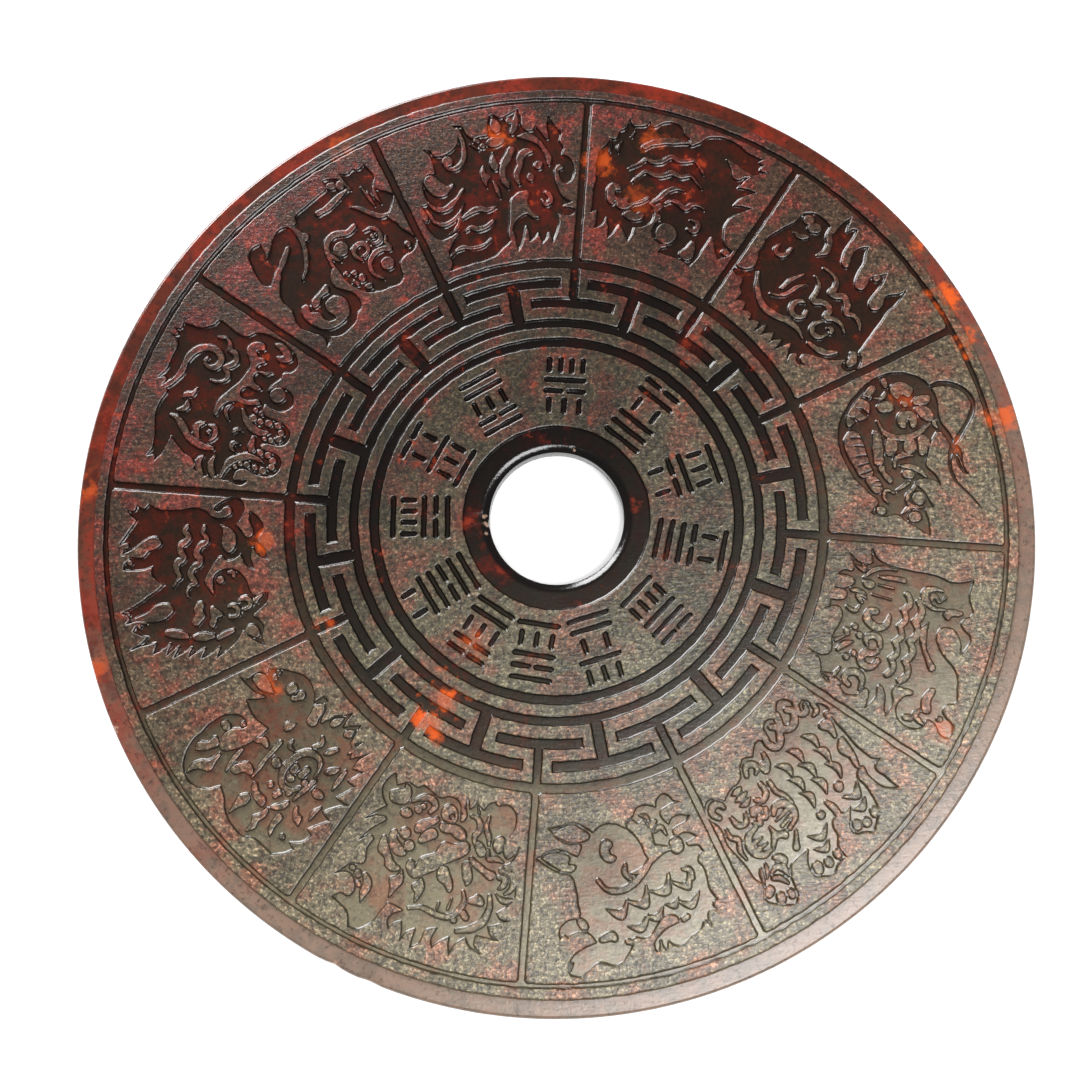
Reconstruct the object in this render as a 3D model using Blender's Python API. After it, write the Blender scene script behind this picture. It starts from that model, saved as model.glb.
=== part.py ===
"""A loose stone bi disc: a round flat disc with a round hole, its face carved with the twelve animals."""

import math

import bmesh
import bpy
from mathutils import Vector
from mathutils.geometry import delaunay_2d_cdt

# Sizes of the plain disc, in metres.
OUTER_RADIUS = 0.115
BORE_RADIUS = 0.0162
THICKNESS = 0.0065
RIM_ROUNDING = 0.0009
LIP_WIDTH = 0.0019
LIP_DROP = 0.0011
RELIEF_DEPTH = 0.0007

# The smooth bands that edge the carved field.
RIM_WIDTH = 0.0045
HOLE_RING_WIDTH = 0.0044

# Bands of the carved field from the rim inwards. They share the field in these proportions.
FILLET_WIDTH = 0.0022
GROOVE_WIDTH = 0.0013
PANEL_HEIGHT = 0.0418
OUTER_GROUND_WIDTH = 0.0025
KEY_OUTER_BAR = 0.00245
KEY_UPPER_GAP = 0.0026
KEY_MIDDLE_BAR = 0.00255
KEY_LOWER_GAP = 0.00255
KEY_INNER_BAR = 0.0029
INNER_GROUND_WIDTH = 0.0022
RING_WIDTH = 0.0026
RECESS_WIDTH = 0.0024
MARK_FIELD_WIDTH = 0.0199

# What repeats round the disc.
PANEL_COUNT = 12
FIRST_PANEL_ANGLE = math.radians(9.8)
DIVIDER_WIDTH = 0.0019
PANEL_CORNER = 0.0006
KEY_OUTER_STEM = 0.0022
KEY_INNER_STEM = 0.003
KEY_UPPER_REACH = 0.39
KEY_LOWER_REACH = 0.363
MARK_STROKE = 0.0014
MARK_REACH = 0.27

# Where the strokes of a group of marks lie, as shares of the mark field's width from its outer edge.
MARK_ROWS = (0.15, 0.55)
UPPER_MARK = (0.26, 0.44)
LOWER_MARK = (0.66, 0.88)
MARK_LEAN = 0.5

# The plain underside has one shallow turned line near its edge.
UNDER_LINE_WIDTH = 0.0012
UNDER_LINE_DEPTH = 0.0003
UNDER_LINE_INSET = 0.008

# How finely round shapes are cut.
RIM_SEGMENTS = 60
RING_SEGMENTS = 40
HOLE_SEGMENTS = 24
ARC_STEP = math.radians(7.5)
CURL_STEP = 80
CURL_SHRINK = 0.35
DOT_SIDES = 4

LOW, HIGH, OPEN = 0, 1, 2

# The animals are drawn on a grid of this many squares from a panel's outer edge to its inner edge.
# X runs along the panel, anticlockwise round the disc, and Y towards the disc's centre.
GRID_SQUARES = 42.0


def band_radii():
    """Outer radius of each band of the carved field, with the field's inner radius last."""
    widths = {
        "fillet": FILLET_WIDTH, "groove": GROOVE_WIDTH, "panel": PANEL_HEIGHT,
        "outer_ground": OUTER_GROUND_WIDTH, "key_outer_bar": KEY_OUTER_BAR,
        "key_upper_gap": KEY_UPPER_GAP, "key_middle_bar": KEY_MIDDLE_BAR,
        "key_lower_gap": KEY_LOWER_GAP, "key_inner_bar": KEY_INNER_BAR,
        "inner_ground": INNER_GROUND_WIDTH, "ring": RING_WIDTH, "recess": RECESS_WIDTH,
        "marks": MARK_FIELD_WIDTH,
    }
    outer = OUTER_RADIUS - RIM_WIDTH
    inner = BORE_RADIUS + LIP_WIDTH + HOLE_RING_WIDTH
    share = (outer - inner) / sum(widths.values())
    radii = {}
    radius = outer
    for name, width in widths.items():
        radii[name] = radius
        radius -= width * share
    radii["hole_ring"] = inner
    return radii


def polar(radius, angle):
    return (radius * math.cos(angle), radius * math.sin(angle))


def circle(radius, segments):
    return [polar(radius, math.tau * k / segments) for k in range(segments)]


def arc(radius, start, end):
    """Points of an arc from start to end, both included."""
    steps = max(1, round(abs(end - start) / ARC_STEP))
    return [polar(radius, start + (end - start) * k / steps) for k in range(steps + 1)]


def ring_piece(inner, outer, start, end):
    """Outline of a piece of a ring between two radii and two angles."""
    return arc(outer, start, end) + arc(inner, end, start)


def radial_bar(inner, outer, angle, width):
    """Outline of a straight bar that runs along a radius."""
    across = Vector((-math.sin(angle), math.cos(angle))) * width / 2
    near = Vector(polar(inner, angle))
    far = Vector(polar(outer, angle))
    return [tuple(near - across), tuple(far - across), tuple(far + across), tuple(near + across)]


def panel_outline(inner, outer, middle):
    """Outline of one panel, whose sides keep half a divider's width from the dividing radius."""
    half_pitch = math.pi / PANEL_COUNT
    points = []
    for radius, turn in ((outer, 1), (inner, -1)):
        reach = half_pitch - math.asin(DIVIDER_WIDTH / 2 / radius)
        corner = PANEL_CORNER / radius
        next_radius = radius + turn * -PANEL_CORNER
        next_reach = half_pitch - math.asin(DIVIDER_WIDTH / 2 / next_radius)
        points.append(polar(next_radius, middle - turn * next_reach))
        points += arc(radius, middle - turn * (reach - corner), middle + turn * (reach - corner))
        points.append(polar(next_radius, middle + turn * next_reach))
    return points


def stroke(points, width, tip=0.5):
    """Outline of a carved line along points, whose two ends narrow to the tip's share of the width."""
    left, right = [], []
    last = len(points) - 1
    for k, point in enumerate(points):
        before = Vector(points[max(k - 1, 0)])
        after = Vector(points[min(k + 1, last)])
        along = (after - before).normalized()
        across = Vector((-along.y, along.x)) * width / 2 * (tip if k in (0, last) else 1.0)
        left.append(tuple(Vector(point) + across))
        right.append(tuple(Vector(point) - across))
    return right + left[::-1]


def wave(start, end, count, height, width):
    """Outline of a scalloped ribbon: count hanging loops between two points."""
    start, end = Vector(start), Vector(end)
    along = (end - start).normalized()
    down = Vector((along.y, -along.x))
    points = []
    for k in range(2 * count + 1):
        point = start + (end - start) * k / (2 * count)
        points.append(tuple(point + down * height * (k % 2)))
    return stroke(points, width)


def curl(x, y, radius, start, sweep, width):
    """Outline of a hooked lock round (x, y), from an angle and through a sweep, in degrees."""
    steps = max(3, round(abs(sweep) / CURL_STEP))
    points = []
    for k in range(steps + 1):
        angle = math.radians(start + sweep * k / steps)
        shrunk = radius * (1 - CURL_SHRINK * k / steps)
        points.append((x + shrunk * math.cos(angle), y + shrunk * math.sin(angle)))
    return stroke(points, width)


def dot(x, y, radius, stretch=1.0, lean=0.0):
    """Outline of a small raised pad or bead, which may be stretched along a direction in degrees."""
    lean = math.radians(lean)
    points = []
    for k in range(DOT_SIDES):
        angle = math.tau * k / DOT_SIDES
        along, across = radius * stretch * math.cos(angle), radius * math.sin(angle)
        points.append((x + along * math.cos(lean) - across * math.sin(lean),
                       y + along * math.sin(lean) + across * math.cos(lean)))
    return points


def rat():
    body = [(-21.5, -0.8), (-15.2, 5.2), (-14.9, 9.6), (-13, 12), (-11, 9.8), (-4, 14), (4, 15.8),
            (11, 14), (16.5, 9), (20, 1), (18.8, -5.5), (15.4, -9.3), (8, -9.9), (4, -9.3), (3, -7.3),
            (-4, -3.8), (-11, -6.4), (-7.8, -2.9), (-8, -0.4), (-14.8, -3.3)]
    tail = [(14.9, -9), (14.7, -14), (12, -17.8), (8.5, -18.6), (4, -16), (-1, -11.2), (-6, -9.5),
            (-11, -10.6), (-17, -14.4)]
    back = [(-8.5, 9.7), (-3.5, 12.6), (2, 14.4), (9.5, 12.9), (13.5, 10.4), (17.8, 4), (12.5, 6),
            (9.5, 9.8), (0, 10.2), (-5, 8.8)]
    yield LOW, body
    yield LOW, stroke(tail, 1.2)
    yield HIGH, back
    yield HIGH, stroke([(7, 5), (3.8, 1.5), (3.9, -3.5)], 1.7)
    for k in range(5):
        angle = math.radians(100 + 72 * k)
        petal_x, petal_y = 11.6 + 4 * math.cos(angle), -2.4 + 4 * math.sin(angle)
        yield HIGH, dot(petal_x, petal_y, 1.9, 1.3, math.degrees(angle))
    yield HIGH, stroke([(-6, 5.8), (0, 7.6), (5.8, 6.6)], 1.9)
    yield HIGH, dot(-12, 0.4, 1.8)
    yield HIGH, dot(-16.3, 1.9, 1.4)


def ox():
    body = [(-10.2, 19.8), (-10.4, 15.3), (1.2, 15), (-0.4, 19.8), (2.8, 18.4), (3.9, 15.5),
            (5.8, 18.6), (8.8, 14.6), (9.3, 19), (11.3, 15.3), (14.8, 17.3), (14, 11.6), (17.6, 12.6),
            (15.4, 10), (15.2, 4), (16.3, -9), (18.2, -12.7), (9.2, -14.4), (7.3, -12.7), (5, -15.7),
            (1.2, -15.2), (0.6, -12.5), (5.2, -11.2), (4.2, -8.9), (1.5, -8.5), (-1.2, -10.8),
            (-5, -15.3), (-11.5, -16.5), (-13.5, -14.4), (-16.5, -17.5), (-19.8, -17), (-18.5, -11),
            (-20.5, -7.5), (-18.7, -4.2), (-12.4, -6.2), (-12.8, -2), (-19.4, -2.1),
            (-13.4, 1), (-19.5, 3.2), (-15, 4.2), (-17.8, 7), (-16.2, 13.5)]
    yield LOW, body
    yield HIGH, wave((-10.2, 0.6), (9.6, 1.6), 3, 1.4, 1.3)
    yield HIGH, wave((-10.2, -2.8), (8.8, -1.4), 3, 1.5, 1.4)
    for x, y, start, sweep in ((-13.5, 8.3, 200, 250), (-7.5, 6.3, 260, -240), (2, 7.2, 40, 280),
                               (11.2, -4.6, 200, -230)):
        yield HIGH, curl(x, y, 2.5, start, sweep, 1.4)
    yield HIGH, stroke([(-5.5, -9.2), (-1, -6), (4.6, -5.2)], 1.6)


def tiger():
    body = [(-19.3, 7), (-19.5, 11), (-17, 12.8), (-14.2, 10.3), (-8, 11.7), (-5, 14.7), (-2.5, 13.5),
            (0.5, 15.3), (2.2, 13.5), (3.6, 16.8), (6, 17.4), (7.6, 14.5), (10.8, 19.1),
            (12.8, 17), (12.7, 14), (14.8, 15.6), (15.5, 12.5), (18.2, 11.8), (17.8, -2),
            (19.5, -5.8), (17.4, -7.2), (18.4, -14), (15.2, -10), (15, -5.2), (13.6, -5.2), (12, -13.5),
            (7, -17), (4, -15), (4.4, -11.8), (6.6, -9.8), (1.5, -9.2), (-1, -14.5), (-2, -17.5),
            (-6, -18.3), (-9.4, -17), (-9.8, -14), (-7.2, -10.5), (-12, -10.4), (-14.3, -13),
            (-15.5, -16.8), (-20, -16), (-22, -11.5), (-19.6, -5), (-21, 2)]
    yield LOW, body
    for x, top, bottom in ((0.8, 8.2, -4.4), (5.8, 9.2, -4), (10.2, 9.4, -3.4), (15, 3, -4)):
        yield HIGH, stroke([(x - 0.6, top), (x + 0.9, top * 0.6 + bottom * 0.4), (x, bottom)], 1.6)
    yield HIGH, stroke([(-13.5, 1.2), (-16.8, -1.6), (-14, -5)], 1.7)
    yield HIGH, stroke([(-7.5, 1.6), (-4.2, -1), (-6.6, -4.2)], 1.7)
    yield HIGH, [(-10.4, -1), (-8, -5), (-13, -5)]
    for x, y in ((-20.2, -12), (-18.2, -14.8), (-8.2, -15), (-5.2, -15.8), (5.5, -13.8), (9, -14.4)):
        yield HIGH, dot(x, y, 1.1)


def rabbit():
    body = [(-15.4, 14.7), (-9.5, 15), (-5.8, 12.2), (-2.5, 13.4), (2, 11.9), (3.3, 13.8), (6, 15.8),
            (9.6, 15), (11.2, 17.3), (13, 17.2), (15.2, 15), (17.2, 13), (18.2, 8), (17.2, 5.6),
            (18.5, 3.2), (17.2, 1.4), (18.2, -4), (19.6, -8), (18.8, -12), (16.8, -13.5), (15.6, -12),
            (13.6, -14.6), (10, -16), (4, -16.4), (4, -13.8), (7.2, -10.8), (1.5, -13.6),
            (-3, -16.5), (-6, -17.8), (-10, -16.7), (-14, -19), (-16.6, -17), (-13, -13), (-10, -11.9),
            (-11, -9.8), (-17, -10), (-16, -6.8), (-12.4, -5.6), (-12.2, 4), (-16.4, 5.6),
            (-19.8, 9), (-14.5, 9.8), (-10, 7.8), (-8.6, 9.4)]
    yield LOW, body
    yield HIGH, [(-14, 13.6), (-10.5, 14.8), (-7, 11.5), (-12, 11.6)]
    yield HIGH, [(-17.6, 8.4), (-13.5, 9), (-11.4, 5.8), (-14.5, 5)]
    yield HIGH, stroke([(-2.4, 9.6), (-4, 7.2), (-1.8, 5)], 1.8)
    yield HIGH, stroke([(-6.3, 0.8), (-4, -1.4), (0.6, -1.2), (5.4, 2.8), (10, 5)], 1)
    yield HIGH, wave((-5.8, -5.4), (10.2, -0.8), 3, 2.2, 1.6)
    yield HIGH, wave((8, -7), (15.4, -6.2), 1, 1.6, 1.5)


def dragon():
    body = [(-16.4, 15), (-14.6, 16.8), (-14.2, 14.4), (-8, 16.6), (-4, 15.5), (1.2, 14.8), (2.6, 17.4),
            (3.6, 15.4), (5, 18), (6.6, 15.5), (8.8, 18.2), (11.5, 18.9), (14.4, 17.2), (14.4, 11),
            (15.6, 7.4), (17, 11), (17.6, 6), (19.6, 2.6), (17.5, -4.8), (20.5, -5.7),
            (17, -8.6), (19.8, -10.5), (15, -11.5), (16.6, -14.4), (12.4, -12.6), (10.3, -17),
            (8, -14.2), (6, -17), (5.2, -12.8), (1.8, -18.5), (0.6, -14.6), (-1, -17.5), (-3, -14.2),
            (-5.8, -14), (-3.2, -11.5), (-7, -11), (-9.5, -17), (-13.5, -18.8), (-19.5, -14),
            (-15.3, -12.2), (-15.8, -8.6), (-20.8, -8.8), (-15.6, -1), (-18.2, 0.2), (-14.6, 7),
            (-18, 5.2), (-14.8, 9.6), (-16.8, 12)]
    yield LOW, body
    yield HIGH, stroke([(-5, -1.5), (-3.4, -2.6), (0, 3), (3, 6), (6.2, 6.4)], 3)
    yield HIGH, [(10.5, 17), (13.5, 17), (14.2, 14.2), (12, 11.4), (10.2, 14.2)]
    yield HIGH, dot(-12.6, 12.2, 1.9, 1.4)
    yield HIGH, dot(-0.4, 12.6, 1.9)
    yield HIGH, stroke([(-10.5, 4), (-9.8, 1.6), (-7, 0.4)], 1.7)
    yield HIGH, stroke([(-12.8, 1.8), (-11, -1.4), (-7.6, -3.2)], 1.6)
    yield HIGH, stroke([(-1.6, -10.2), (6, -9.2), (9.4, -3.2)], 1.2)
    yield HIGH, stroke([(15, -2.2), (15, -7.6), (10.4, -11.2)], 1.2)


def snake():
    body = [(-17, 11.5), (-13, 14.8), (-8, 16.8), (-3.3, 14.5), (-3.2, 17.2), (1.8, 14.2), (4.3, 19.5),
            (4.8, 16.4), (7.8, 20), (9.2, 15.8), (11, 17), (11.8, 12.6), (14, 17), (14.4, 12),
            (16.4, 13), (15.8, 9.2), (18, 9.6), (16.8, 4.8), (20, 5.4), (17.6, 0.3), (19.8, 0),
            (18.2, -4.8), (19.9, -5), (18.4, -9.8), (17.3, -14), (12, -15.4), (8, -17.6),
            (3, -17), (-2.8, -14.2), (-6, -18), (-10, -19), (-13, -16.5), (-15.6, -9), (-15.2, -3),
            (-12.6, 0), (-10.2, -0.4), (-11.2, -4), (-9.4, -8.6), (-7.4, -6.4),
            (-6, 2.4), (-14.5, 3), (-12.5, 6.5), (-19.4, 5), (-18, 8), (-11.8, 8.4), (-15.4, 10)]
    yield LOW, body
    yield HIGH, dot(-9.4, 12.6, 1.2)
    yield HIGH, dot(-6.6, 12.6, 1.2)
    yield HIGH, [(-2.6, 14.4), (0, 16.4), (-0.6, 11)]
    yield HIGH, stroke([(8.6, -0.6), (5.6, -2.2), (3.6, 0.4), (4, 4), (6.6, 6.6), (9.6, 5)], 1.4)
    for x, y in ((5.8, 1.6), (8.2, 2.4)):
        yield HIGH, dot(x, y, 1)
    yield HIGH, stroke([(-1.4, 2), (0.4, -7)], 1)
    yield HIGH, stroke([(-8.4, -9.8), (-7.8, -13), (-10.6, -17)], 1.6)
    for x, y, lean in ((8.8, -12, 100), (12.6, -10, 110), (3.2, -13, 80)):
        yield HIGH, dot(x, y, 1, 2.2, lean)


def horse():
    body = [(-19.2, 9.6), (-18.4, 12), (-16, 12.8), (-13, 10.6), (-9.4, 13.2), (-14, 13.9), (-14.6, 15.2),
            (-11, 16.8), (-7.8, 14.9), (-3, 16.4), (-5.8, 13.3), (-1.6, 12.9), (-5, 10.4),
            (-5.6, 5.8), (-0.6, 1), (-2, 8), (0.4, 10.4), (5, 11.4), (3.4, 17.2), (8, 15), (9.8, 11.6),
            (13, 13.4), (17.4, 12.8), (13.4, 8.4), (18.2, 2), (16, 0.4), (17, -5), (15, -3),
            (16.4, -8.4), (14.2, -6.2), (14.8, -13.4), (13, -8.6), (12.2, -16.6), (10.2, -14),
            (8.8, -17.4), (7.4, -15), (7.2, -11.6), (5.6, -7.4), (3.2, -8.4), (5.8, -18), (3.4, -19),
            (0.6, -13.8), (-1.4, -8.6), (-6, -10.6), (-6.6, -17.2), (-9.8, -17), (-9.2, -12.4), (-11.8, -7.8),
            (-13.2, -9.6), (-10.8, -16.6), (-13.2, -17.4), (-18.4, -13), (-21.6, -14), (-18.8, -1),
            (-16.2, 4.8)]
    yield LOW, body
    yield HIGH, stroke([(-16.6, 9.8), (-15.6, 7.6), (-17.6, 5.4)], 1.5)
    yield HIGH, [(-12.8, 7), (-9.4, 9.8), (-6.4, 9.2), (-7.2, 7)]
    yield HIGH, wave((-13, 3), (-3.4, 0.2), 2, 2, 1.3)
    yield HIGH, wave((-14.2, -1.2), (-0.6, -5.2), 2, 1, 1.3)
    for x, y in ((6.4, 9.8), (7.6, 6.2), (7.8, 0.6)):
        yield HIGH, dot(x, y, 1.4)
    yield HIGH, stroke([(13, 1), (12.6, -2.8)], 1.5)
    yield HIGH, stroke([(11.8, -4.6), (10, -9)], 1.5)


def goat():
    body = [(-19, 9.4), (-17.6, 12.6), (-14, 13.8), (-11.8, 11.6), (-6.6, 9.7), (-8.2, 13.6),
            (-6, 16.4), (-3.4, 15.4), (-2.8, 9.9), (-0.4, 10.4), (-0.2, 15.8), (2.6, 18.6),
            (5.4, 17.2), (6.6, 12.8), (7.8, 13), (8, 17), (10.6, 19.2), (13.4, 17.8), (14.2, 10.6),
            (15.6, 9.8), (16, 12.8), (17.6, 10.8), (17, 6.4), (13, 6.6), (18.3, 4.8),
            (18.2, 2.4), (14, 1.4), (15, -2.4), (13, -7.4), (18.8, -10), (11, -12.8),
            (5.6, -14.4), (0.6, -13.4), (-1, -16.6), (-9, -16), (-12, -18), (-15.8, -16),
            (-18.6, -9), (-17.4, -1), (-19.8, 5)]
    yield LOW, body
    yield HIGH, stroke([(0.6, 8.4), (3.2, 9.4), (3.6, 13)], 1.7)
    yield HIGH, stroke([(15.6, 7.6), (11.8, 8.6), (10.4, 14)], 1.7)
    for x, y in ((1.2, 15), (3.2, 16.6), (1.2, 12.2), (9.2, 16.2), (12, 16.8), (12.8, 13.6)):
        yield HIGH, dot(x, y, 0.9)
    yield HIGH, stroke([(-1.6, -14), (-6, -12.4), (-10.8, -11.2), (-12, -7), (-9.8, -4.6), (-7.4, -6),
                        (-8.8, -8.2)], 1.5)
    yield HIGH, wave((-15.2, -6.4), (-4.6, -3.6), 2, -2.6, 1.4)
    yield HIGH, stroke([(-16.6, 2), (-9, 4.4), (-4, 2.6), (2.6, -0.8)], 1.6)
    yield HIGH, stroke([(11.8, 1.4), (11.4, -4), (7.2, -10.4)], 1.6)
    yield HIGH, dot(-6.2, 12.6, 1.7)


def monkey():
    body = [(-18.6, 11), (-13, 11.6), (-9.6, 15.8), (-4, 14.6), (-0.8, 11.8), (0.4, 8), (-0.6, 0),
            (2.2, 2.2), (3.8, 5.4), (1, 10.6), (1.6, 14.6), (5.6, 16.8), (13, 15.8),
            (14.8, 17.4), (14.4, 14.6), (16.8, 9.4), (15.6, 0), (14, -3), (15.6, -4.2),
            (16.8, -8), (15, -13.6), (7, -14), (1.8, -13), (-2, -15),
            (-14.4, -16.2), (-15.2, -10.6), (-16, -15.8), (-21.8, -13.4), (-22, -10), (-19.6, -8),
            (-22.2, -4), (-20.8, -1.2), (-17.6, 0.2), (-18.8, 5.4)]
    yield LOW, body
    yield HIGH, stroke([(-13, 4.2), (-12.8, 7), (-7, 8), (-6.8, 12.6)], 1.2)
    yield HIGH, curl(-10.4, 10.6, 1.9, 90, -220, 1.3)
    yield HIGH, curl(-11.8, 2.2, 2.3, 40, 240, 1.2)
    yield HIGH, curl(-7.2, 3.4, 2.2, 60, -230, 1.2)
    yield HIGH, curl(-3.6, -0.4, 2, 120, 230, 1.3)
    yield HIGH, curl(8.8, 11, 4, -60, 300, 2)
    yield HIGH, stroke([(-18, 0), (-15.4, -2.6), (-13, -7)], 1.2)
    yield HIGH, stroke([(8.4, -0.6), (4.6, -3), (2.2, -12)], 1.4)
    yield HIGH, stroke([(15, -4.6), (6, -9.2)], 1.3)
    yield HIGH, stroke([(-20, -3.4), (-17.8, -9.6)], 1.3)


def rooster():
    body = [(-18.4, 11.2), (-15, 10.6), (-12, 17.4), (-11.6, 15.2), (-9.4, 17.4),
            (-9, 14.8), (-6.8, 16.2), (-6.2, 12.4), (-3.4, 18), (-2.8, 11), (0.2, 16.8),
            (4, 19), (14, 20.2), (10.4, 14), (14.8, 11.6), (19, 5.6), (16.8, -4.6), (14.4, -6.6),
            (14.4, -11.4), (10.6, -8.2), (7.2, -12), (4.6, -17), (0, -14), (-5.6, -18), (-9.6, -18),
            (-10.6, -13), (-14.6, -9.6), (-17.2, -15), (-20.8, -3.6), (-20.6, 1.4), (-18.8, 2.6),
            (-16.8, 0), (-17.4, 7.6)]
    yield LOW, body
    yield HIGH, stroke([(3, 14), (7, 15.4), (13, 16)], 1)
    yield HIGH, stroke([(2, 9.6), (5.4, 10.6), (8.6, 10)], 1.2)
    yield HIGH, stroke([(1, 5.8), (9, 7.4)], 1.2)
    yield HIGH, stroke([(10.2, 6.2), (14, 8.2), (17, 5.4)], 1.2)
    yield HIGH, stroke([(7.8, -0.4), (13, 3.4), (16, 1.8)], 1.4)
    yield HIGH, dot(-12.6, 6, 1.8)
    yield HIGH, [(-9.8, 10.2), (-3.8, 8.6), (-4, 5), (-6.6, 3.2), (-7.6, 6.4)]
    for x, top, bottom in ((-7.2, 0.2, -7.4), (-4.2, 1, -8.6), (-0.6, -4, -8.4)):
        yield HIGH, stroke([(x + 0.8, top), (x + 0.4, (top + bottom) / 2), (x - 1.8, bottom)], 1.7)
    yield HIGH, stroke([(-15.2, -3.4), (-13.4, -9), (-9.4, -11.8)], 1.3)
    yield HIGH, curl(8.4, -9, 2.8, 190, -190, 1.3)
    yield HIGH, dot(-3.2, -15.8, 1.2, 1.5, 90)


def dog():
    body = [(-16.2, 11.2), (-13.2, 6.8), (-11.2, 15.4), (-9.4, 9.6), (-6, 13.6), (-1.4, 14.4),
            (1.4, 10), (1.6, 6), (4.2, 3.4), (2.6, 7.2), (5.8, 10.4), (6.4, 14.4), (9.8, 11),
            (11.4, 15.2), (13.4, 10.4), (15.4, 13.8), (16.2, 9), (18, 9.4), (20.4, -3), (20.2, -8),
            (18, -10), (16.4, -17), (14, -14.4), (11.4, -16.8), (5.2, -19.6), (1.8, -16.8),
            (-3.8, -17.2), (-8, -19.6), (-19, -17), (-18.8, -14.2), (-10.4, -14.6), (-13.4, -10.6),
            (-16.2, -12.8), (-15.4, -8.6), (-20, -8.4), (-16, -3.6), (-19.8, -3.8), (-15.6, 0.8),
            (-18.6, 8.4)]
    yield LOW, body
    yield HIGH, stroke([(-3.8, 10.4), (-3.4, 7.6), (0.2, 7.4)], 1.8)
    yield HIGH, dot(-8, 5.2, 1.5)
    yield HIGH, wave((-8.8, 0.4), (0.6, 1.4), 2, 1, 1.3)
    yield HIGH, stroke([(-2.6, -3), (4, 2.6), (9, 5.4), (13, 5.4)], 1.5)
    yield HIGH, stroke([(5.4, 6.2), (7.2, 8), (9.6, 8)], 1.7)
    yield HIGH, stroke([(-6.4, -5), (-2.8, -7.4), (8.6, -4.6), (10.4, -1.8)], 1.4)
    yield HIGH, stroke([(-5.6, -9.4), (-2.8, -11.6), (9, -8), (12.2, -4.4)], 1.4)


def pig():
    body = [(-20.4, 7), (-15, 10), (-9.2, 13.8), (-8.2, 16.4), (-7.2, 18.4),
            (-4.6, 15), (-3, 18.8), (-2.4, 15.8), (-0.4, 18.6), (0.6, 15.8), (2.2, 18.6), (3.2, 16),
            (4, 18.8), (6, 16.8), (7, 18.4), (8.6, 16.6), (10.2, 17), (11.6, 15.2), (12.8, 16), (14.4, 13),
            (18.4, 11.6), (16.6, 7), (18.4, 2.6), (18, -10.4), (12.6, -14), (10.6, -12.6),
            (9.6, -19), (6.8, -18), (3.2, -9.6), (0.8, -9), (3.4, -14.6), (0.4, -17),
            (-3.6, -8.8), (-6, -8.6), (-4.6, -13.6), (-7.4, -16.4), (-9.8, -9), (-11.8, -8),
            (-12, -16), (-14, -15.4), (-17, 2.6), (-20, 4)]
    yield LOW, body
    yield HIGH, dot(-17.8, 6.2, 1.2, 1.5, 90)
    yield HIGH, stroke([(-5.2, 11.2), (-1, 10.4), (6, 13), (10, 12.2), (14, 8.6)], 1.5)
    yield HIGH, curl(-7, 6.4, 2.2, 190, -250, 1.3)
    yield HIGH, curl(0.6, 6.8, 2, 190, -260, 1.3)
    yield HIGH, stroke([(-11.2, 2.4), (-5.6, 3.4), (-2.6, 1.4), (0, 2.6), (3.8, -2.2)], 1.4)
    yield HIGH, stroke([(-13.2, -1), (-4, -3.8), (-1.6, -2.4), (1, -5.4), (3.8, -5.4)], 1.4)
    yield HIGH, curl(14.6, 0, 1.7, 200, -200, 1.1)
    yield HIGH, dot(13.6, -10.4, 1.4, 1.4, 40)
    yield HIGH, stroke([(7.6, -6.4), (7.4, -9.6), (9.4, -12)], 1.2)


# The animals in their order along the rim, anticlockwise from the first panel.
ANIMALS = (rat, pig, dog, rooster, monkey, goat, horse, snake, dragon, rabbit, tiger, ox)


def place_in_panel(points, middle, centre_radius, square):
    """Grid points of a panel's drawing as points of the disc's face."""
    placed = []
    for x, y in points:
        away = centre_radius - y * square
        side = x * square
        placed.append((away * math.cos(middle) - side * math.sin(middle),
                       away * math.sin(middle) + side * math.cos(middle)))
    return placed


def key_fret(radii, pitch):
    """The gaps between the bars of the key fret: a T from outside and a T from inside in each turn."""
    for k in range(PANEL_COUNT):
        divider = FIRST_PANEL_ANGLE + (k + 0.5) * pitch
        middle = divider + pitch / 2
        lower, lower_end = radii["key_lower_gap"], radii["key_inner_bar"]
        upper, upper_end = radii["key_upper_gap"], radii["key_middle_bar"]
        reach = pitch * KEY_LOWER_REACH
        yield LOW, ring_piece(lower_end, lower, divider - reach, divider + reach)
        stem_end = (lower + lower_end) / 2
        yield LOW, radial_bar(stem_end, radii["outer_ground"], divider, KEY_OUTER_STEM)
        reach = pitch * KEY_UPPER_REACH
        yield LOW, ring_piece(upper_end, upper, middle - reach, middle + reach)
        stem_end = (upper + upper_end) / 2
        yield LOW, radial_bar(radii["ring"], stem_end, middle, KEY_INNER_STEM)


def marks(radii, pitch):
    """Twelve groups of short sunk strokes in rows, which spell nothing."""
    top = radii["marks"]
    height = top - radii["hole_ring"]
    reach = pitch * MARK_REACH
    for k in range(PANEL_COUNT):
        middle = FIRST_PANEL_ANGLE + k * pitch
        for row in MARK_ROWS:
            radius = top - height * row
            length = 2 * reach * radius
            yield LOW, radial_bar(radius - MARK_STROKE / 2, radius + MARK_STROKE / 2, middle, length)
        lean = reach * MARK_LEAN * (1 if k % 2 else -1)
        for (start, end), angle in ((UPPER_MARK, middle + lean), (LOWER_MARK, middle - lean)):
            yield LOW, radial_bar(top - height * end, top - height * start, angle, MARK_STROKE)


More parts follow.
